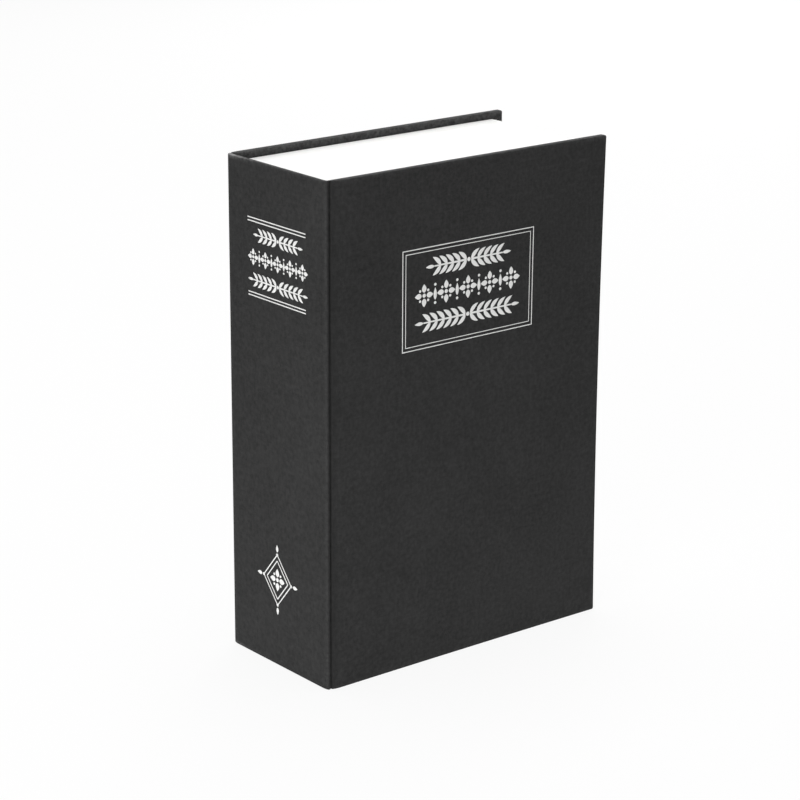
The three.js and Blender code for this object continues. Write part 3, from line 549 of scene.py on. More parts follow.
def cover_cloth():
    """The cloth of one cover as an outer and an inner grid, with its flat place and its edge mark.
    Rows follow the profile across the edge, columns follow the lines round the cover, and the inner
    grid lies one cloth's thickness inside, square to the profile. The joint's dip fades out over the
    outer half of the edge."""
    face = np.array([88, 74, 60, 48, 36, 25, 15, 8, 4, 2, 1.2])
    inset, down, angle, run = wrap_profile(face, cover_depth, CLOTH_EDGE_ROUND)
    grids = []
    for depth in (0, CLOTH):
        x, z, outward_x, outward_z = cover_lines(inset + depth * np.sin(angle))
        y = (down + depth * np.cos(angle))[:, None]
        fade = np.clip(1 - 2 * down / cover_depth, 0, 1)[:, None]
        grids.append(grid_of(x, y + joint_dip(x) * fade, z))
    edge_x, edge_z, *_ = cover_lines(np.zeros(1))
    beyond = (angle > 0)[:, None]
    flat_x = np.where(beyond, edge_x + outward_x * run[:, None], grids[0][..., 0])
    flat_z = np.where(beyond, edge_z + outward_z * run[:, None], grids[0][..., 2])
    outer_x, outer_y, outer_z = np.moveaxis(grids[0], -1, 0)
    # The edge mark: wear and a painted highlight along the edges, and wear at the fore-edge corners.
    near_edge = bell(run - EDGE_WEAR_AND_HIGHLIGHT_RUN, EDGE_WEAR_AND_HIGHLIGHT_WIDTH)[:, None]
    from_end = np.minimum(edge_z, book_height - edge_z)
    at_corner = bell(outer_x - book_width, CORNER_REACH) * bell(from_end, CORNER_REACH)
    # A painted highlight along the turn-in's fold.
    turned_in = bell(run - cover_depth, TURN_IN_HIGHLIGHT_WIDTH)[:, None]
    rubbed = near_edge * (EDGE_WEAR_AND_HIGHLIGHT + CORNER_RUB * at_corner) + TURN_IN_HIGHLIGHT * turned_in
    rubbed = rubbed * (outer_x > joint_edge + CLOTH)
    # A painted shadow along the tail and painted shade along the fore-edge, on the outside only.
    outside = outer_y < cover_depth / 2
    edge_shade = np.maximum(bell(outer_z, EDGE_PAINTED_SHADE_WIDTH), bell(book_width - outer_x, EDGE_PAINTED_SHADE_WIDTH)) * outside
    # The darkening mark: painted shade beside the joint, and along the tail and fore-edge.
    painted_shade = np.maximum(JOINT_PAINTED_SHADE * bell(outer_x - joint_edge, JOINT_PAINTED_SHADE_WIDTH), EDGE_PAINTED_SHADE * edge_shade)
    rims = ("last_row", "first_column", "last_column")
    return (*grids, rims), {"sheet": np.stack([flat_x, flat_z], -1), "edge": rubbed, "painted_shade": painted_shade}


(outer, inner, rims), marks = cover_cloth()
for side, placed, body in SIDES:
    piece = sheet_piece(f"{side}_cloth", [(placed(outer), placed(inner), rims)], cloth, marks)
    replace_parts(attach(piece, body), f"{side}_cover_cloth")


# Bookcloth over the spine.
# The same sheet of cloth carries on over the spine's card. Its long edges roll softly into the two
# joints, and it is turned in over the card at head and tail.

LIP_DROP = 0.2
SPINE_EDGE_ROUND = 0.4
END_PINCH = 0.06
# The spine's head and tail ends are lighter by wear and by a painted highlight, most towards the back joint.
END_WEAR_AND_HIGHLIGHT = 3.2
END_WEAR_AND_HIGHLIGHT_LEAST = 0.07
END_WEAR_AND_HIGHLIGHT_RUN = 0.5
END_WEAR_AND_HIGHLIGHT_WIDTH = 0.7
# A painted highlight along each crest, where the spine rolls into a joint.
CREST_HIGHLIGHT = 0.06
CREST_HIGHLIGHT_WIDTH = 0.3
# Painted shade in the lips of the spine's cloth, where they turn down into the joints.
LIP_SHADE = 0.2

spine_low, spine_high = extent("spine_cloth")
spine_depth = spine_high[0]


def spine_cloth():
    """The spine's cloth as an outer and an inner grid. Columns follow a line across the spine: a lip
    that rises out of the joint as a quarter ellipse, a crest, a wider quarter ellipse round to the
    flat, and the same back. Rows follow the wrap profile from the tail's turn-in over the outer face
    to the head's. The depth at a point is the line's own, which gives way to the profile's as the
    cloth turns in. The inner grid lies one thickness inside along the surface's normals, which are
    the cross product of the grid's two gradients."""
    low, high = spine_low[1] + CREST_DROP, spine_high[1] - CREST_DROP
    turn = quarter(11)
    rise = np.pi / 2 - np.concatenate([[0], quarter(5)])
    level = np.linspace(low + ROLL_ACROSS, high - ROLL_ACROSS, 15)[1:-1]
    line_x = [ROLL_DEPTH + (spine_depth - ROLL_DEPTH) * np.sin(rise), ROLL_DEPTH * (1 - np.sin(turn))]
    line_y = [low + LIP_DROP * (1 - np.cos(rise)), low + ROLL_ACROSS * (1 - np.cos(turn))]
    line_x = np.concatenate([*line_x, 0 * level, *[part[::-1] for part in line_x[::-1]]])
    line_y = np.concatenate([*line_y, level, *[low + high - part[::-1] for part in line_y[::-1]]])
    face = np.array([88, 66, 45, 28, 15, 7, 3, 1.5])
    inset, down, _, run = wrap_profile(face, spine_depth, SPINE_EDGE_ROUND)
    inset = np.concatenate([inset[::-1], book_height - inset[1:]])[:, None]
    down = np.concatenate([down[::-1], down[1:]])[:, None]
    run = np.concatenate([-run[::-1], book_height + run[1:]])
    turned = down / spine_depth
    x = line_x * (1 - turned) + down
    middle = (low + high) / 2
    y = middle + (line_y - middle) * (1 - END_PINCH * turned**2)
    outside = grid_of(x, y, inset)
    normal = np.cross(np.gradient(outside, axis=0), np.gradient(outside, axis=1))
    normal /= np.linalg.norm(normal, axis=-1, keepdims=True)
    centre = normal[normal.shape[0] // 2, normal.shape[1] // 2]
    inside = outside + CLOTH * normal * np.sign(centre[0])
    steps = np.hypot(np.diff(line_x), np.diff(line_y))
    across_run = np.concatenate([[0], np.cumsum(steps)])
    flat_place = np.stack(np.broadcast_arrays(-across_run, run[:, None]), -1)
    beyond = np.maximum(-run, run - book_height)[:, None]
    # Wear and a painted highlight at the head and tail ends, brightest towards the back joint.
    near_end = bell(beyond - END_WEAR_AND_HIGHLIGHT_RUN, END_WEAR_AND_HIGHLIGHT_WIDTH)
    towards_back = END_WEAR_AND_HIGHLIGHT_LEAST + np.clip((y - low) / (high - low), 0, 1) ** 8
    # A painted highlight along the crest beside each joint.
    near_side = bell(line_x - 0.5 * ROLL_DEPTH, CREST_HIGHLIGHT_WIDTH) * (down < 0.5)
    rubbed = np.maximum(END_WEAR_AND_HIGHLIGHT * towards_back * near_end, CREST_HIGHLIGHT * near_side * (1 - near_end))
    # Painted shade in each lip, where the cloth turns down into the joint.
    in_lip = np.clip((line_x - 0.8 * ROLL_DEPTH) / 0.5, 0, 1) * (down < 0.8 * spine_depth)
    # A painted shadow along the spine's tail, where the book stands.
    edge_shade = EDGE_PAINTED_SHADE * bell(inset, EDGE_PAINTED_SHADE_WIDTH) * (down < 0.5 * spine_depth)
    painted_shade = np.maximum(LIP_SHADE * in_lip, edge_shade)
    return (outside, inside, ALL_RIMS), {"sheet": flat_place, "edge": rubbed, "painted_shade": painted_shade}


sheet, marks = spine_cloth()
spine_wrap = sheet_piece("spine_wrap", [sheet], cloth, marks)
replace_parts(spine_wrap, "spine_cloth")
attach(spine_wrap, "case")


# Joint strips.
# Between the spine and each cover the cloth dips into a narrow groove. At the front this strip is the
# book's hinge. Each strip is made in the closed book's shape, with a half circle at the groove's bottom.

GROOVE_DEEPER = 0.04
joint_low, joint_high = extent("front_joint_cloth")


def joint_strip():
    """A strip of cloth in a groove, as the groove's face and the face one thickness behind it. Across
    it, two straight walls join a half circle. Its columns are close together on the half circle. Each
    wall starts just under the neighbouring cloth's edge."""
    middle = (joint_low[0] + joint_high[0]) / 2
    radius = (joint_high[0] - joint_low[0]) / 2 - CLOTH
    floor_y = joint_high[1] + GROOVE_DEEPER - CLOTH - radius
    turn = np.linspace(np.pi, 0, 41)
    first_wall = np.linspace(spine_low[1] + CREST_DROP + LIP_DROP, floor_y, 4)[:-1]
    last_wall = np.linspace(floor_y, JOINT_DIP + CLOTH, 4)[1:]
    round_run = radius * (np.pi - turn)
    sheet_run = np.concatenate([first_wall - floor_y, round_run, round_run[-1] + floor_y - last_wall])
    z = np.linspace(0, book_height, 23)[:, None]
    grids = []
    for reach in (radius, radius + CLOTH):
        first_x, last_x = 0 * first_wall + middle - reach, 0 * last_wall + middle + reach
        x = [first_x, middle + reach * np.cos(turn), last_x]
        y = [first_wall, floor_y + reach * np.sin(turn), last_wall]
        grids.append(grid_of(np.concatenate(x), np.concatenate(y), z))
    flat_place = np.stack(np.broadcast_arrays(sheet_run, z), -1)
    none = np.zeros(flat_place.shape[:2])
    return (*grids, ALL_RIMS), {"sheet": flat_place, "edge": none, "painted_shade": none}


(outer, inner, rims), marks = joint_strip()
front_joint = sheet_piece("front_joint", [(outer, inner, rims)], cloth, marks)
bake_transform(front_joint)
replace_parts(front_joint, "front_joint_cloth")

back_joint = sheet_piece("back_joint", [(at_back(outer), at_back(inner), rims)], cloth, marks)
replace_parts(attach(back_joint, "case"), "back_joint_cloth")


# Endpapers.
# Plain off-white paper, pasted over the inside of each board. It steps up over the edges of the
# turned-in cloth, and leaves 3 mm of the cloth showing all round.

PAPER = 0.2
PAPER_STEP = 1.1
PAPER_STEP_HEIGHT = 0.35
PAPER_COLOUR = (0.74, 0.72, 0.67, 1)
PAPER_TONED = (0.68, 0.655, 0.60, 1)

paper_low, paper_high = extent("front_endpaper")


def paper_material():
    """Endpaper: fine fibres, and a faint yellowing in clouds."""
    material, tree, shader, place = new_material("endpaper", Roughness=0.9, Specular_IOR_Level=0.25)
    fibres = group_in(tree, grain, {"Place": place, "Size": 0.35, "Roughness": 0.7, "Cloud Size": 25.0})
    clouds = maths(tree, "MULTIPLY_ADD", fibres["Tone"], 0.8, -0.2)
    tone = maths(tree, "MULTIPLY_ADD", fibres["Height"], 0.5, clouds)
    finish_in(tree, shader, mixed(tree, tone, PAPER_COLOUR, PAPER_TONED), fibres["Height"], 0.02)
    return material


paper = paper_material()


def smooth_step(share):
    """Three times the square of a share less twice its cube, with the share kept from 0 to 1."""
    share = np.clip(share, 0, 1)
    return share * share * (3 - 2 * share)


def endpaper_sheet():
    """An endpaper's two faces over X and Z. The inner face lies low inside the turn-ins, and rises by
    a smooth step where it runs over their edges."""
    near = np.linspace(-PAPER_STEP, PAPER_STEP / 2, 8)
    x_step, z_step = book_width - TURN_IN, TURN_IN
    x = np.concatenate([np.linspace(paper_low[0], x_step - 3, 15), x_step - near[::-1], [paper_high[0]]])
    z = np.concatenate([[paper_low[2]], z_step + near, np.linspace(z_step + 3, book_height / 2, 9)])
    z = np.concatenate([z, book_height - z[-2::-1]])[:, None]
    x = np.sort(x)[None, :]
    outside = np.maximum(x - x_step, np.maximum(z_step - z, z - (book_height - z_step)))
    risen = smooth_step((outside + PAPER_STEP) / PAPER_STEP)
    top = paper_high[1] - PAPER_STEP_HEIGHT * (1 - risen)
    return grid_of(x, top, z), grid_of(x, top - PAPER, z)


outer, inner = endpaper_sheet()
for side, placed, body in SIDES:
    piece = sheet_piece(f"{side}_lining", [(placed(outer), placed(inner), ALL_RIMS)], paper)
    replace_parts(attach(piece, body), f"{side}_endpaper")


# Foil blocking.
# White pigment foil, pressed into the cloth with a heated die: a double-ruled panel on the front
# cover, two pairs of rules and a fleuron on the spine, and rows of leaves and rosettes. It stands a
# few hundredths of a millimetre proud, and the tops of the threads take it better than the hollows.

FOIL_RISE = 0.03
FOIL_RISE_STEP = 0.15
FOIL_SUNK = 0.03
FOIL_COLOUR = (0.74, 0.74, 0.73, 1)
FOIL_THIN = (0.30, 0.30, 0.30, 1)
OUTER_RULE = 0.33
INNER_RULE = 0.26
SPINE_RULE = 0.38
PANEL = (31.0, 88.6, 113.5, 148.4)
PANEL_GAP = 1.35
ACROSS_SHARES = np.array([0.0, 0.14, 0.86, 1.0])
LEAF_LEAN = 42
LOZENGE_RULE = 0.42


def foil_material():
    """Foil: an even off-white film that thins where the weave below it is low."""
    material, tree, shader, place = new_material("white foil", Roughness=0.45, Specular_IOR_Level=0.35)
    threads = woven(tree)
    specks = group_in(tree, grain, {"Place": place, "Size": 0.3, "Roughness": 0.7, "Cloud Size": 8.0})
    covered = maths(tree, "MULTIPLY", threads["Height"], specks["Height"])
    hollow = maths(tree, "SUBTRACT", 0.42, covered)
    missing = maths(tree, "MULTIPLY_ADD", hollow, 2.0, -0.45)
    thin = node_in(tree, "ShaderNodeClamp", {0: missing}).outputs[0]
    finish_in(tree, shader, mixed(tree, thin, FOIL_COLOUR, FOIL_THIN), threads["Height"], 0.03, 0.6)
    return material


foil = foil_material()


def stroke_grid(line, breadth):
    """A stroke from its middle line and its breadth along it: points across it, at right angles to
    the line."""
    tangent = np.gradient(line, axis=0)
    tangent /= np.maximum(np.linalg.norm(tangent, axis=1, keepdims=True), 1e-9)
    side = np.stack([-tangent[:, 1], tangent[:, 0]], -1)
    return line[:, None] + side[:, None] * breadth[:, None, None] * (ACROSS_SHARES - 0.5)[None, :, None]


def leaf(root, angle, length, breadth, bend=0.0):
    """A leaf from its root: its middle line curves by bend, and its breadth is a sine of the share of
    its length, fuller towards the root."""
    share = np.linspace(0, 1, 15)
    line = np.stack([length * share, bend * np.sin(np.pi * share)], -1)
    turn = np.radians(angle)
    spin = np.array([[np.cos(turn), np.sin(turn)], [-np.sin(turn), np.cos(turn)]])
    return line @ spin + root, breadth * np.sin(np.pi * share**0.8) ** 0.85


def bead(centre, radius):
    """A round dot: a short line, with the breadth of a circle at each point."""
    turn = np.linspace(0, np.pi, 13)
    line = np.stack([-radius * np.cos(turn), 0 * turn], -1) + centre
    return line, 2 * radius * np.sin(turn)


def laurel(root, tip, level, height, pairs):
    """A laurel branch from its root to its tip: a straight stem that tapers, pairs of leaves that lean
    along it at even places, and one leaf at the end."""
    share = np.linspace(0, 1, 20)
    way = np.sign(tip - root)
    stem_end = tip - way * 0.5 * height
    path = np.stack([root + (stem_end - root) * share, 0 * share + level], -1)
    strokes = [(path, height * (0.10 - 0.03 * share))]
    for place in np.linspace(root, stem_end, pairs + 1)[:-1]:
        for side in (1, -1):
            angle = 90 - way * (90 - side * LEAF_LEAN)
            bend = way * side * 0.05 * height
            strokes.append(leaf(np.array([place, level]), angle, 0.64 * height, 0.21 * height, bend))
    strokes.append(leaf(path[-1], 90 - way * 90, 0.5 * height, 0.17 * height))
    return strokes


def laurel_row(start, end, level, height, pairs):
    """Two laurel branches that grow from the middle to both ends, with a bead between their roots."""
    middle = (start + end) / 2
    gap = 0.14 * height
    strokes = [bead(np.array([middle, level]), 0.10 * height)]
    strokes += laurel(middle + gap, end, level, height, pairs)
    return strokes + laurel(middle - gap, start, level, height, pairs)


def rosette(centre, size):
    """Four leaves round a bead, and four small beads between them."""
    strokes = [bead(centre, 0.09 * size)]
    for angle in (0, 90, 180, 270):
        turn, between = np.radians([angle, angle + 45])
        away = np.array([np.cos(turn), np.sin(turn)])
        aside = np.array([np.cos(between), np.sin(between)])
        strokes.append(leaf(centre + 0.13 * size * away, angle, 0.37 * size, 0.25 * size))
        strokes.append(bead(centre + 0.31 * size * aside, 0.06 * size))
    return strokes


def pointed_bar(centre, size):
    """An upright pointed bar with a bead above and below it."""
    strokes = [leaf(centre - [0, 0.27 * size], 90, 0.54 * size, 0.18 * size)]
    return strokes + [bead(centre + [0, way * 0.40 * size], 0.065 * size) for way in (1, -1)]


def rosette_row(start, end, level, height, count):
    """Rosettes at even places from end to end, with a pointed bar between each two."""
    places = np.linspace(start + height / 2, end - height / 2, count)
    strokes = [stroke for x in places for stroke in rosette(np.array([x, level]), height)]
    for x in (places[:-1] + places[1:]) / 2:
        strokes += pointed_bar(np.array([x, level]), height)
    return strokes


def level_rule(start, end, level):
    """A straight level rule."""
    share = np.linspace(0, 1, 13)
    return np.stack([start + (end - start) * share, 0 * share + level], -1), 0 * share + SPINE_RULE


def ruled_frame(inset, breadth):
    """A ruled rectangle of this breadth of line, at this inset in the panel: round its four sides,
    points across the rule from its outer line to its inner one, mitred at the corners. Its first and
    last columns meet."""
    x0, x1, z0, z1 = np.array(PANEL) + np.array([1, -1, 1, -1]) * inset
    corners = np.array([[x0, z0], [x1, z0], [x1, z1], [x0, z1], [x0, z0]])
    inward = np.sign(corners[[2, 3, 0, 1, 2]] - corners)
    along = np.linspace(0, 4, 49)
    side = np.minimum(along.astype(int), 3)
    part = (along - side)[:, None]
    path = corners[side] * (1 - part) + corners[side + 1] * part
    lean = inward[side] * (1 - part) + inward[side + 1] * part
    return path[:, None] + lean[:, None] * breadth * ACROSS_SHARES[None, :, None]


def foil_piece(name, strokes, frames, place):
    """Every stroke and frame of one stamping as one mesh. The middle points across a stroke stand
    proud, each stroke's by a little more or less than the next one's, so that crossing strokes don't
    lie in one plane. place puts points given as across, up and out on the book."""
    flats = [stroke_grid(*stroke) for stroke in strokes] + frames
    closed = [False] * len(strokes) + [True] * len(frames)
    sheets, lies = [], []
    for number, flat in enumerate(flats):
        proud = FOIL_RISE * (1 + FOIL_RISE_STEP * (number % 4)) * np.array([0, 1, 1, 0])
        top = np.concatenate([flat, np.broadcast_to(proud[:, None], flat.shape[:2] + (1,))], -1)
        under = np.concatenate([flat, np.full(flat.shape[:2] + (1,), -FOIL_SUNK)], -1)
        rims = ("first_column", "last_column") if closed[number] else ALL_RIMS
        sheets.append((place(top), place(under), rims))
        lies += [flat, flat]
    return sheet_piece(name, sheets, foil, {"sheet": lies})


def on_front(points):
    """Across, up and out on the front cover: x, z and towards -y, with the cover's lift."""
    across_x, up, out = np.moveaxis(points, -1, 0)
    return grid_of(across_x, lift(across_x, up) - out, up)


def on_spine(points):
    """Across, up and out on the spine: across runs from the back joint, so y is the thickness less
    it, z is up and x is less out."""
    across_y, up, out = np.moveaxis(points, -1, 0)
    return grid_of(-out, book_thickness - across_y, up)


strokes = laurel_row(41.0, 78.4, 141.4, 7.4, 5)
strokes += rosette_row(36.4, 82.6, 131.9, 7.9, 5)
strokes += laurel_row(36.4, 82.6, 122.4, 7.4, 6)
frames = [ruled_frame(0, OUTER_RULE), ruled_frame(PANEL_GAP, INNER_RULE)]
front_foil = foil_piece("front_foil", strokes, frames, on_front)
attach(front_foil, "front_cover")

strokes = [level_rule(12.9, 44.75, level) for level in (156.75, 155.6, 131.1, 130.0)]
strokes += laurel_row(15.9, 43.2, 151.2, 5.6, 4)
strokes += rosette_row(12.9, 45.9, 143.4, 5.8, 5)
strokes += laurel_row(12.9, 45.9, 135.6, 5.6, 5)
spine_foil = foil_piece("spine_foil", strokes, [], on_spine)
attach(spine_foil, "case")


def lozenge(centre, width, height):
    """A ruled lozenge: four straight strokes from point to point."""
    points = centre + np.array([[0, height], [width, 0], [0, -height], [-width, 0]]) / 2
    share = np.linspace(0, 1, 9)[:, None]
    sides = zip(points, np.roll(points, -1, axis=0))
    return [(start * (1 - share) + end * share, np.full(9, LOZENGE_RULE)) for start, end in sides]


def fleuron(centre, width, height):
    """A bookbinder's fleuron: two lozenges, one inside the other, a rosette in the middle, and a bead
    and a leaf beyond each of the outer lozenge's points."""
    strokes = lozenge(centre, width, height) + lozenge(centre, 0.76 * width, 0.76 * height)
    strokes += rosette(centre, 0.52 * width)
    for angle, reach in ((0, width / 2), (90, height / 2), (180, width / 2), (270, height / 2)):
        away = np.array([np.cos(np.radians(angle)), np.sin(np.radians(angle))])
        strokes.append(bead(centre + reach * away, 0.036 * width))
        strokes.append(leaf(centre + (reach + 0.06 * width) * away, angle, 0.17 * width, 0.085 * width))
    return strokes


tail_foil = foil_piece("tail_foil", fleuron(np.array([27.6, 31.5]), 15.6, 18.4), [], on_spine)
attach(tail_foil, "case")


# Page frame.
# White moulded plastic, with the look of page edges on its head, tail and fore-edge. It is screwed to
# the steel tray and glued to the inside of the back cover.

PLASTIC = (0.91, 0.91, 0.90, 1)
PLASTIC_SHADED = (0.75, 0.745, 0.73, 1)
PAGE_LINES = 2600.0
PAGE_LINE_LENGTH = 130
FLAT_ANGLE = 0.5
EDGE_MARK_GAIN = 6

body_of = {n: body for body, nodes in frame["record"]["behaviour"]["bodies"].items() for n in nodes}


def clear_flats(work):
    """Takes needless edges out of a mesh's flat faces."""
    limit = np.radians(FLAT_ANGLE)
    bmesh.ops.dissolve_limit(work, angle_limit=limit, verts=work.verts, edges=work.edges)


def softened(node, name, material, width):
    """A copy of a CAD node with rounded edges, which stands for the node. Its loose triangles are
    joined at equal points, its flats are cleared of needless edges, and each point gets an edge mark:
    how far the point's normal leans away from its faces' normals."""
    source = frame["nodes"][node].data
    points = read_all(source.vertices, "co", 3).round(7)
    points, index = np.unique(points, axis=0, return_inverse=True)
    corners = read_all(source.loops, "vertex_index", kind=np.int32)
    triangles = index.ravel()[corners].reshape(-1, 3)
    apart = (triangles != np.roll(triangles, 1, axis=1)).all(1)
    mesh = bpy.data.meshes.new(name)
    mesh.from_pydata(points.tolist(), [], triangles[apart].tolist())
    piece = rounded(new_piece(name, mesh, material, clear_flats), width)
    mesh = piece.data
    corners = read_all(mesh.loops, "vertex_index", kind=np.int32)
    sizes = read_all(mesh.polygons, "loop_total", kind=np.int32)
    normals = np.repeat(read_all(mesh.polygons, "normal", 3), sizes, axis=0)
    mean = np.zeros((len(mesh.vertices), 3))
    np.add.at(mean, corners, normals)
    mean /= np.maximum(np.linalg.norm(mean, axis=1, keepdims=True), 1e-9)
    lean = np.ones(len(mesh.vertices))
    np.minimum.at(lean, corners, np.sum(normals * mean[corners], 1))
    mark = np.clip((1 - lean) * EDGE_MARK_GAIN, 0, 1)
    mesh.attributes.new("edge", "FLOAT", "POINT").data.foreach_set("value", mark)
    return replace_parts(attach(piece, body_of[node]), node)


def page_material():
    """Moulded page edges: very fine uneven lines across Y, faintly toned, on a soft white plastic."""
    material, tree, shader, place = new_material("moulded pages", Roughness=0.55, Specular_IOR_Level=0.4)
    along = PAGE_LINES / PAGE_LINE_LENGTH
    stretch = {"Vector": place, "Scale": (along, PAGE_LINES, along)}
    stretched = node_in(tree, "ShaderNodeMapping", stretch).outputs[0]
    noise = {"Vector": stretched, "Scale": 1.0, "Detail": 2.0}
    lines = node_in(tree, "ShaderNodeTexNoise", noise).outputs[0]
    skin = group_in(tree, grain, {"Place": place, "Size": 0.6, "Roughness": 0.5, "Cloud Size": 30.0})
    tone = maths(tree, "MULTIPLY_ADD", lines, 2.0, -0.65)
    height = maths(tree, "MULTIPLY_ADD", lines, 0.9, maths(tree, "MULTIPLY", skin["Height"], 0.1))
    finish_in(tree, shader, mixed(tree, tone, PLASTIC, PLASTIC_SHADED), height, 0.05, 0.7)
    return material


softened("page_frame", "page_block", page_material(), 0.2)


# Strong box, its lid and its hinge.
# Folded sheet steel, spot-welded and powder-coated black. The coat has a fine orange peel, and is
# rubbed a little along the folds.

COAT = (0.012, 0.012, 0.013, 1)
COAT_LIGHT = (0.020, 0.020, 0.021, 1)
COAT_RUBBED = (0.075, 0.075, 0.078, 1)


def coat_material():
    """Powder coat: orange peel of about half a millimetre, slight clouding, and rubbed folds."""
    material, tree, shader, place = new_material("black powder coat", Roughness=0.5, Specular_IOR_Level=0.38)
    edge = node_in(tree, "ShaderNodeAttribute", attribute_name="edge").outputs["Fac"]
    peel = group_in(tree, grain, {"Place": place, "Size": 0.55, "Roughness": 0.45, "Cloud Size": 18.0})
    lightened = group_in(tree, rub, {"Place": place, "Edge": edge, "Size": 1.6})["Worn"]
    coat = mixed(tree, peel["Tone"], COAT, COAT_LIGHT)
    finish_in(tree, shader, mixed(tree, lightened, coat, COAT_RUBBED), peel["Height"], 0.05, 0.7)
    return material


coat = coat_material()
for node, name, width in (
    ("steel_tray", "strong_box", 0.3),
    ("lid", "lid_pan", 0.35),
    ("tray_hinge_leaf", "box_leaf", 0.1),
    ("lid_hinge_leaf", "lid_leaf", 0.1),
):
    softened(node, name, coat, width)


# Plated steel: strike, screws, hinge pin, lock nut, stop washer, cam and cam screw.
# Mild steel with bright zinc plate, pressed or turned, with fine scratches from the barrel.

ZINC = (0.56, 0.57, 0.585, 1)
ZINC_DULL = (0.43, 0.44, 0.46, 1)


def zinc_material():
    """Bright zinc: clouds of two greys, with a roughness that follows them, and fine scratches."""
    material, tree, shader, place = new_material("bright zinc plate", Metallic=1.0)
    bloom = group_in(tree, grain, {"Place": place, "Size": 0.25, "Roughness": 0.6, "Cloud Size": 3.5})
    tree.links.new(maths(tree, "MULTIPLY_ADD", bloom["Tone"], 0.3, 0.2), shader["Roughness"])
    finish_in(tree, shader, mixed(tree, bloom["Tone"], ZINC, ZINC_DULL), bloom["Height"], 0.008)
    return material


zinc = zinc_material()
for node, name, width in (
    ("strike_plate", "strike", 0.2),
    *((f"tray_screw_{k}", f"flange_screw_{k}", 0.1) for k in (1, 2, 3, 4)),
    ("hinge_pin", "pin", 0.15),
    ("lock_nut", "hexagon_nut", 0.3),
    ("cam_stop_washer", "stop_washer", 0.1),
    ("lock_cam", "cam", 0.2),
    ("cam_screw", "cam_fixing", 0.12),
):
    softened(node, name, zinc, width)


# Cam lock: housing and plug.
# The housing is die-cast zinc, polished and chrome-plated. The plug in it is turned from brass, and
# its face carries the keyway.

CHROME = (0.66, 0.67, 0.68, 1)
CHROME_SMOKED = (0.56, 0.57, 0.58, 1)
BRASS = (0.62, 0.44, 0.17, 1)
BRASS_DULL = (0.48, 0.34, 0.14, 1)
RING_PITCH = 0.00022


def lathe_material(name, bright, dull, roughness):
    """Turned metal: rings about the lock's axis, from a wave in the distance to it, in two tones."""
    material, tree, shader, place = new_material(name, Metallic=1.0)
    low, high = extent("lock_plug")
    axis = (low + high) / 2 / 1000 + book_corner
    from_axis = {0: place, 1: axis.tolist()}
    centred = node_in(tree, "ShaderNodeVectorMath", from_axis, operation="SUBTRACT").outputs[0]
    parts = node_in(tree, "ShaderNodeSeparateXYZ", {0: centred}).outputs
    squares = [maths(tree, "POWER", parts[k], 2.0) for k in (0, 2)]
    distance = maths(tree, "SQRT", maths(tree, "ADD", *squares))
    ring = maths(tree, "SINE", maths(tree, "MULTIPLY", distance, 2 * np.pi / RING_PITCH))
    height = maths(tree, "MULTIPLY_ADD", ring, 0.5, 0.5)
    smear = group_in(tree, grain, {"Place": place, "Size": 0.4, "Roughness": 0.6, "Cloud Size": 4.0})
    tree.links.new(maths(tree, "MULTIPLY_ADD", smear["Height"], 0.15, roughness), shader["Roughness"])
    finish_in(tree, shader, mixed(tree, smear["Tone"], bright, dull), height, 0.003, 0.5)
    return material


chrome = lathe_material("polished chrome", CHROME, CHROME_SMOKED, 0.05)
brass = lathe_material("turned brass", BRASS, BRASS_DULL, 0.2)
softened("lock_housing", "lock_case", chrome, 0.15)
softened("lock_plug", "lock_core_plug", brass, 0.12)


# Floor, lamps and camera.
# A plain pale floor that the camera sees as near white, with the book's shadow on it, four soft lamps
# and an even sky. Near the book the floor also glows and lights it from below, though it is no lamp.

WHITE = (1, 1, 1, 1)
FLOOR_COLOUR = (0.9, 0.9, 0.9, 1)
FLOOR_SIZE = 5.0
FLOOR_WHITE_SHARE = 0.9
FLOOR_GLOW = 0.72
GLOW_MIDDLE = (-0.09, -0.09, 0)
GLOW_FADES = (0.10, 0.26)
CAMERA_PLACE = (-0.56333, -0.68420, 0.36467)
CAMERA_YAW = 39.1
CAMERA_PITCH = 17.54
CAMERA_ROLL = 0.28
CAMERA_LENS = 119.448
LAMPS = (
    # name, place, aimed at, size, watts
    ("key", (-1.28, -0.62, 0.26), (0, 0, 0.06), 0.8, 14.0),
    ("front fill", (0.95, -1.10, 0.15), (0, 0, 0.06), 0.9, 1.3),
    ("top", (0.05, 0.15, 1.45), (0, 0, 0.10), 1.1, 14.8),
    ("back fill", (1.05, 0.95, 0.60), (0, 0, 0.08), 0.9, 6.0),
)
SKY = (0.225, 0.225, 0.225, 1)


def seen_white(tree):
    """1 for rays that show the background to the camera, also through mirrors and glass."""
    rays = node_in(tree, "ShaderNodeLightPath").outputs
    indirect = maths(tree, "MAXIMUM", rays["Is Glossy Ray"], rays["Is Transmission Ray"])
    return maths(tree, "MAXIMUM", rays["Is Camera Ray"], indirect)


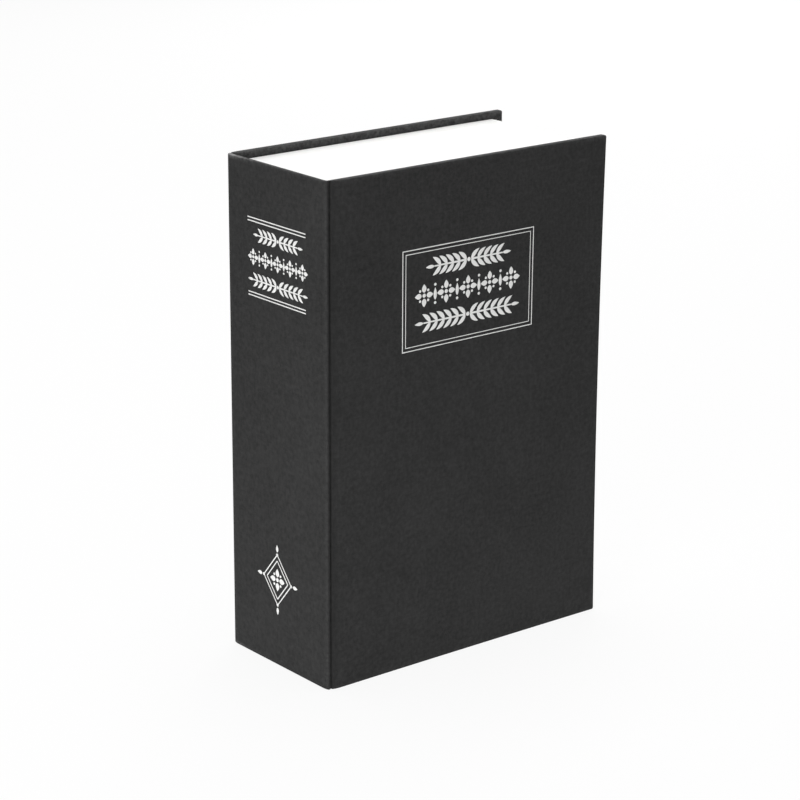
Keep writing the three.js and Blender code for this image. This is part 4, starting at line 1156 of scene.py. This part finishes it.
def floor_material():
    """The floor: matt and pale for light, and mostly plain white for the camera. In front of the
    spine and the front cover it glows and lights the book from below, though it is no lamp. Its glow
    fades by a smooth step from the first distance to the second, and the camera isn't shown it, so
    that the book's shadow stays."""
    material, tree, shader, place = new_material(
        "floor",
        Base_Color=FLOOR_COLOUR,
        Emission_Color=WHITE,
        Roughness=1.0,
        Specular_IOR_Level=0.0,
    )
    to_middle = {0: place, 1: GLOW_MIDDLE}
    distance = node_in(tree, "ShaderNodeVectorMath", to_middle, operation="DISTANCE").outputs["Value"]
    fading = {
        "Value": distance,
        "From Min": GLOW_FADES[0],
        "From Max": GLOW_FADES[1],
        "To Min": FLOOR_GLOW,
        "To Max": 0.0,
    }
    glow = node_in(tree, "ShaderNodeMapRange", fading, interpolation_type="SMOOTHSTEP").outputs["Result"]
    seen = seen_white(tree)
    unseen = maths(tree, "SUBTRACT", 1.0, seen)
    tree.links.new(maths(tree, "MULTIPLY", glow, unseen), shader["Emission Strength"])
    white = node_in(tree, "ShaderNodeEmission", {"Color": WHITE, "Strength": 1.0})
    share = maths(tree, "MULTIPLY", seen, FLOOR_WHITE_SHARE)
    matt = tree.nodes["Principled BSDF"].outputs[0]
    mix = node_in(tree, "ShaderNodeMixShader", {0: share, 1: matt, 2: white.outputs[0]})
    tree.links.new(mix.outputs[0], tree.nodes["Material Output"].inputs[0])
    return material


mesh = bpy.data.meshes.new("floor")
reach = np.linspace(-FLOOR_SIZE, FLOOR_SIZE, 2)
ground = grid_of(reach[None, :], reach[:, None], 0.0).reshape(-1, 3)
mesh.from_pydata(ground.tolist(), [], [(0, 1, 3, 2)])
mesh.materials.append(floor_material())
floor = bpy.data.objects.new("floor", mesh)
scene.collection.objects.link(floor)

world = bpy.data.worlds.new("studio")
world.use_nodes = True
scene.world = world
sky_tree = world.node_tree
soft_sky = sky_tree.nodes["Background"]
soft_sky.inputs["Color"].default_value = SKY
white_sky = node_in(sky_tree, "ShaderNodeBackground", {"Color": WHITE, "Strength": 1.0})
skies = {0: seen_white(sky_tree), 1: soft_sky.outputs[0], 2: white_sky.outputs[0]}
choice = node_in(sky_tree, "ShaderNodeMixShader", skies).outputs[0]
sky_tree.links.new(choice, sky_tree.nodes["World Output"].inputs[0])


def aimed(place, forward, roll=0.0):
    """A matrix at place that looks along forward, turned about that direction by roll degrees: right
    is forward x up, and up is right x forward."""
    forward = np.array(forward) / np.linalg.norm(forward)
    right = np.cross(forward, [0, 0, 1])
    right /= np.linalg.norm(right)
    upward = np.cross(right, forward)
    turn = np.radians(roll)
    turned_right = right * np.cos(turn) + upward * np.sin(turn)
    turned_up = -right * np.sin(turn) + upward * np.cos(turn)
    matrix = np.eye(4)
    matrix[:3] = np.stack([turned_right, turned_up, -forward, place], -1)
    return Matrix(matrix.tolist())


for name, place, target, size, watts in LAMPS:
    lamp = bpy.data.lights.new(name, "AREA")
    lamp.shape = "DISK"
    lamp.size = size
    lamp.energy = watts
    holder = bpy.data.objects.new(name, lamp)
    holder.matrix_world = aimed(np.array(place), np.array(target) - place)
    scene.collection.objects.link(holder)

yaw, pitch = np.radians([CAMERA_YAW, CAMERA_PITCH])
looking = [np.sin(yaw) * np.cos(pitch), np.cos(yaw) * np.cos(pitch), -np.sin(pitch)]
camera = bpy.data.objects.new("camera", bpy.data.cameras.new("camera"))
camera.data.lens = CAMERA_LENS
camera.matrix_world = aimed(np.array(CAMERA_PLACE), looking, CAMERA_ROLL)
scene.collection.objects.link(camera)
scene.camera = camera
scene.view_settings.view_transform = "Standard"
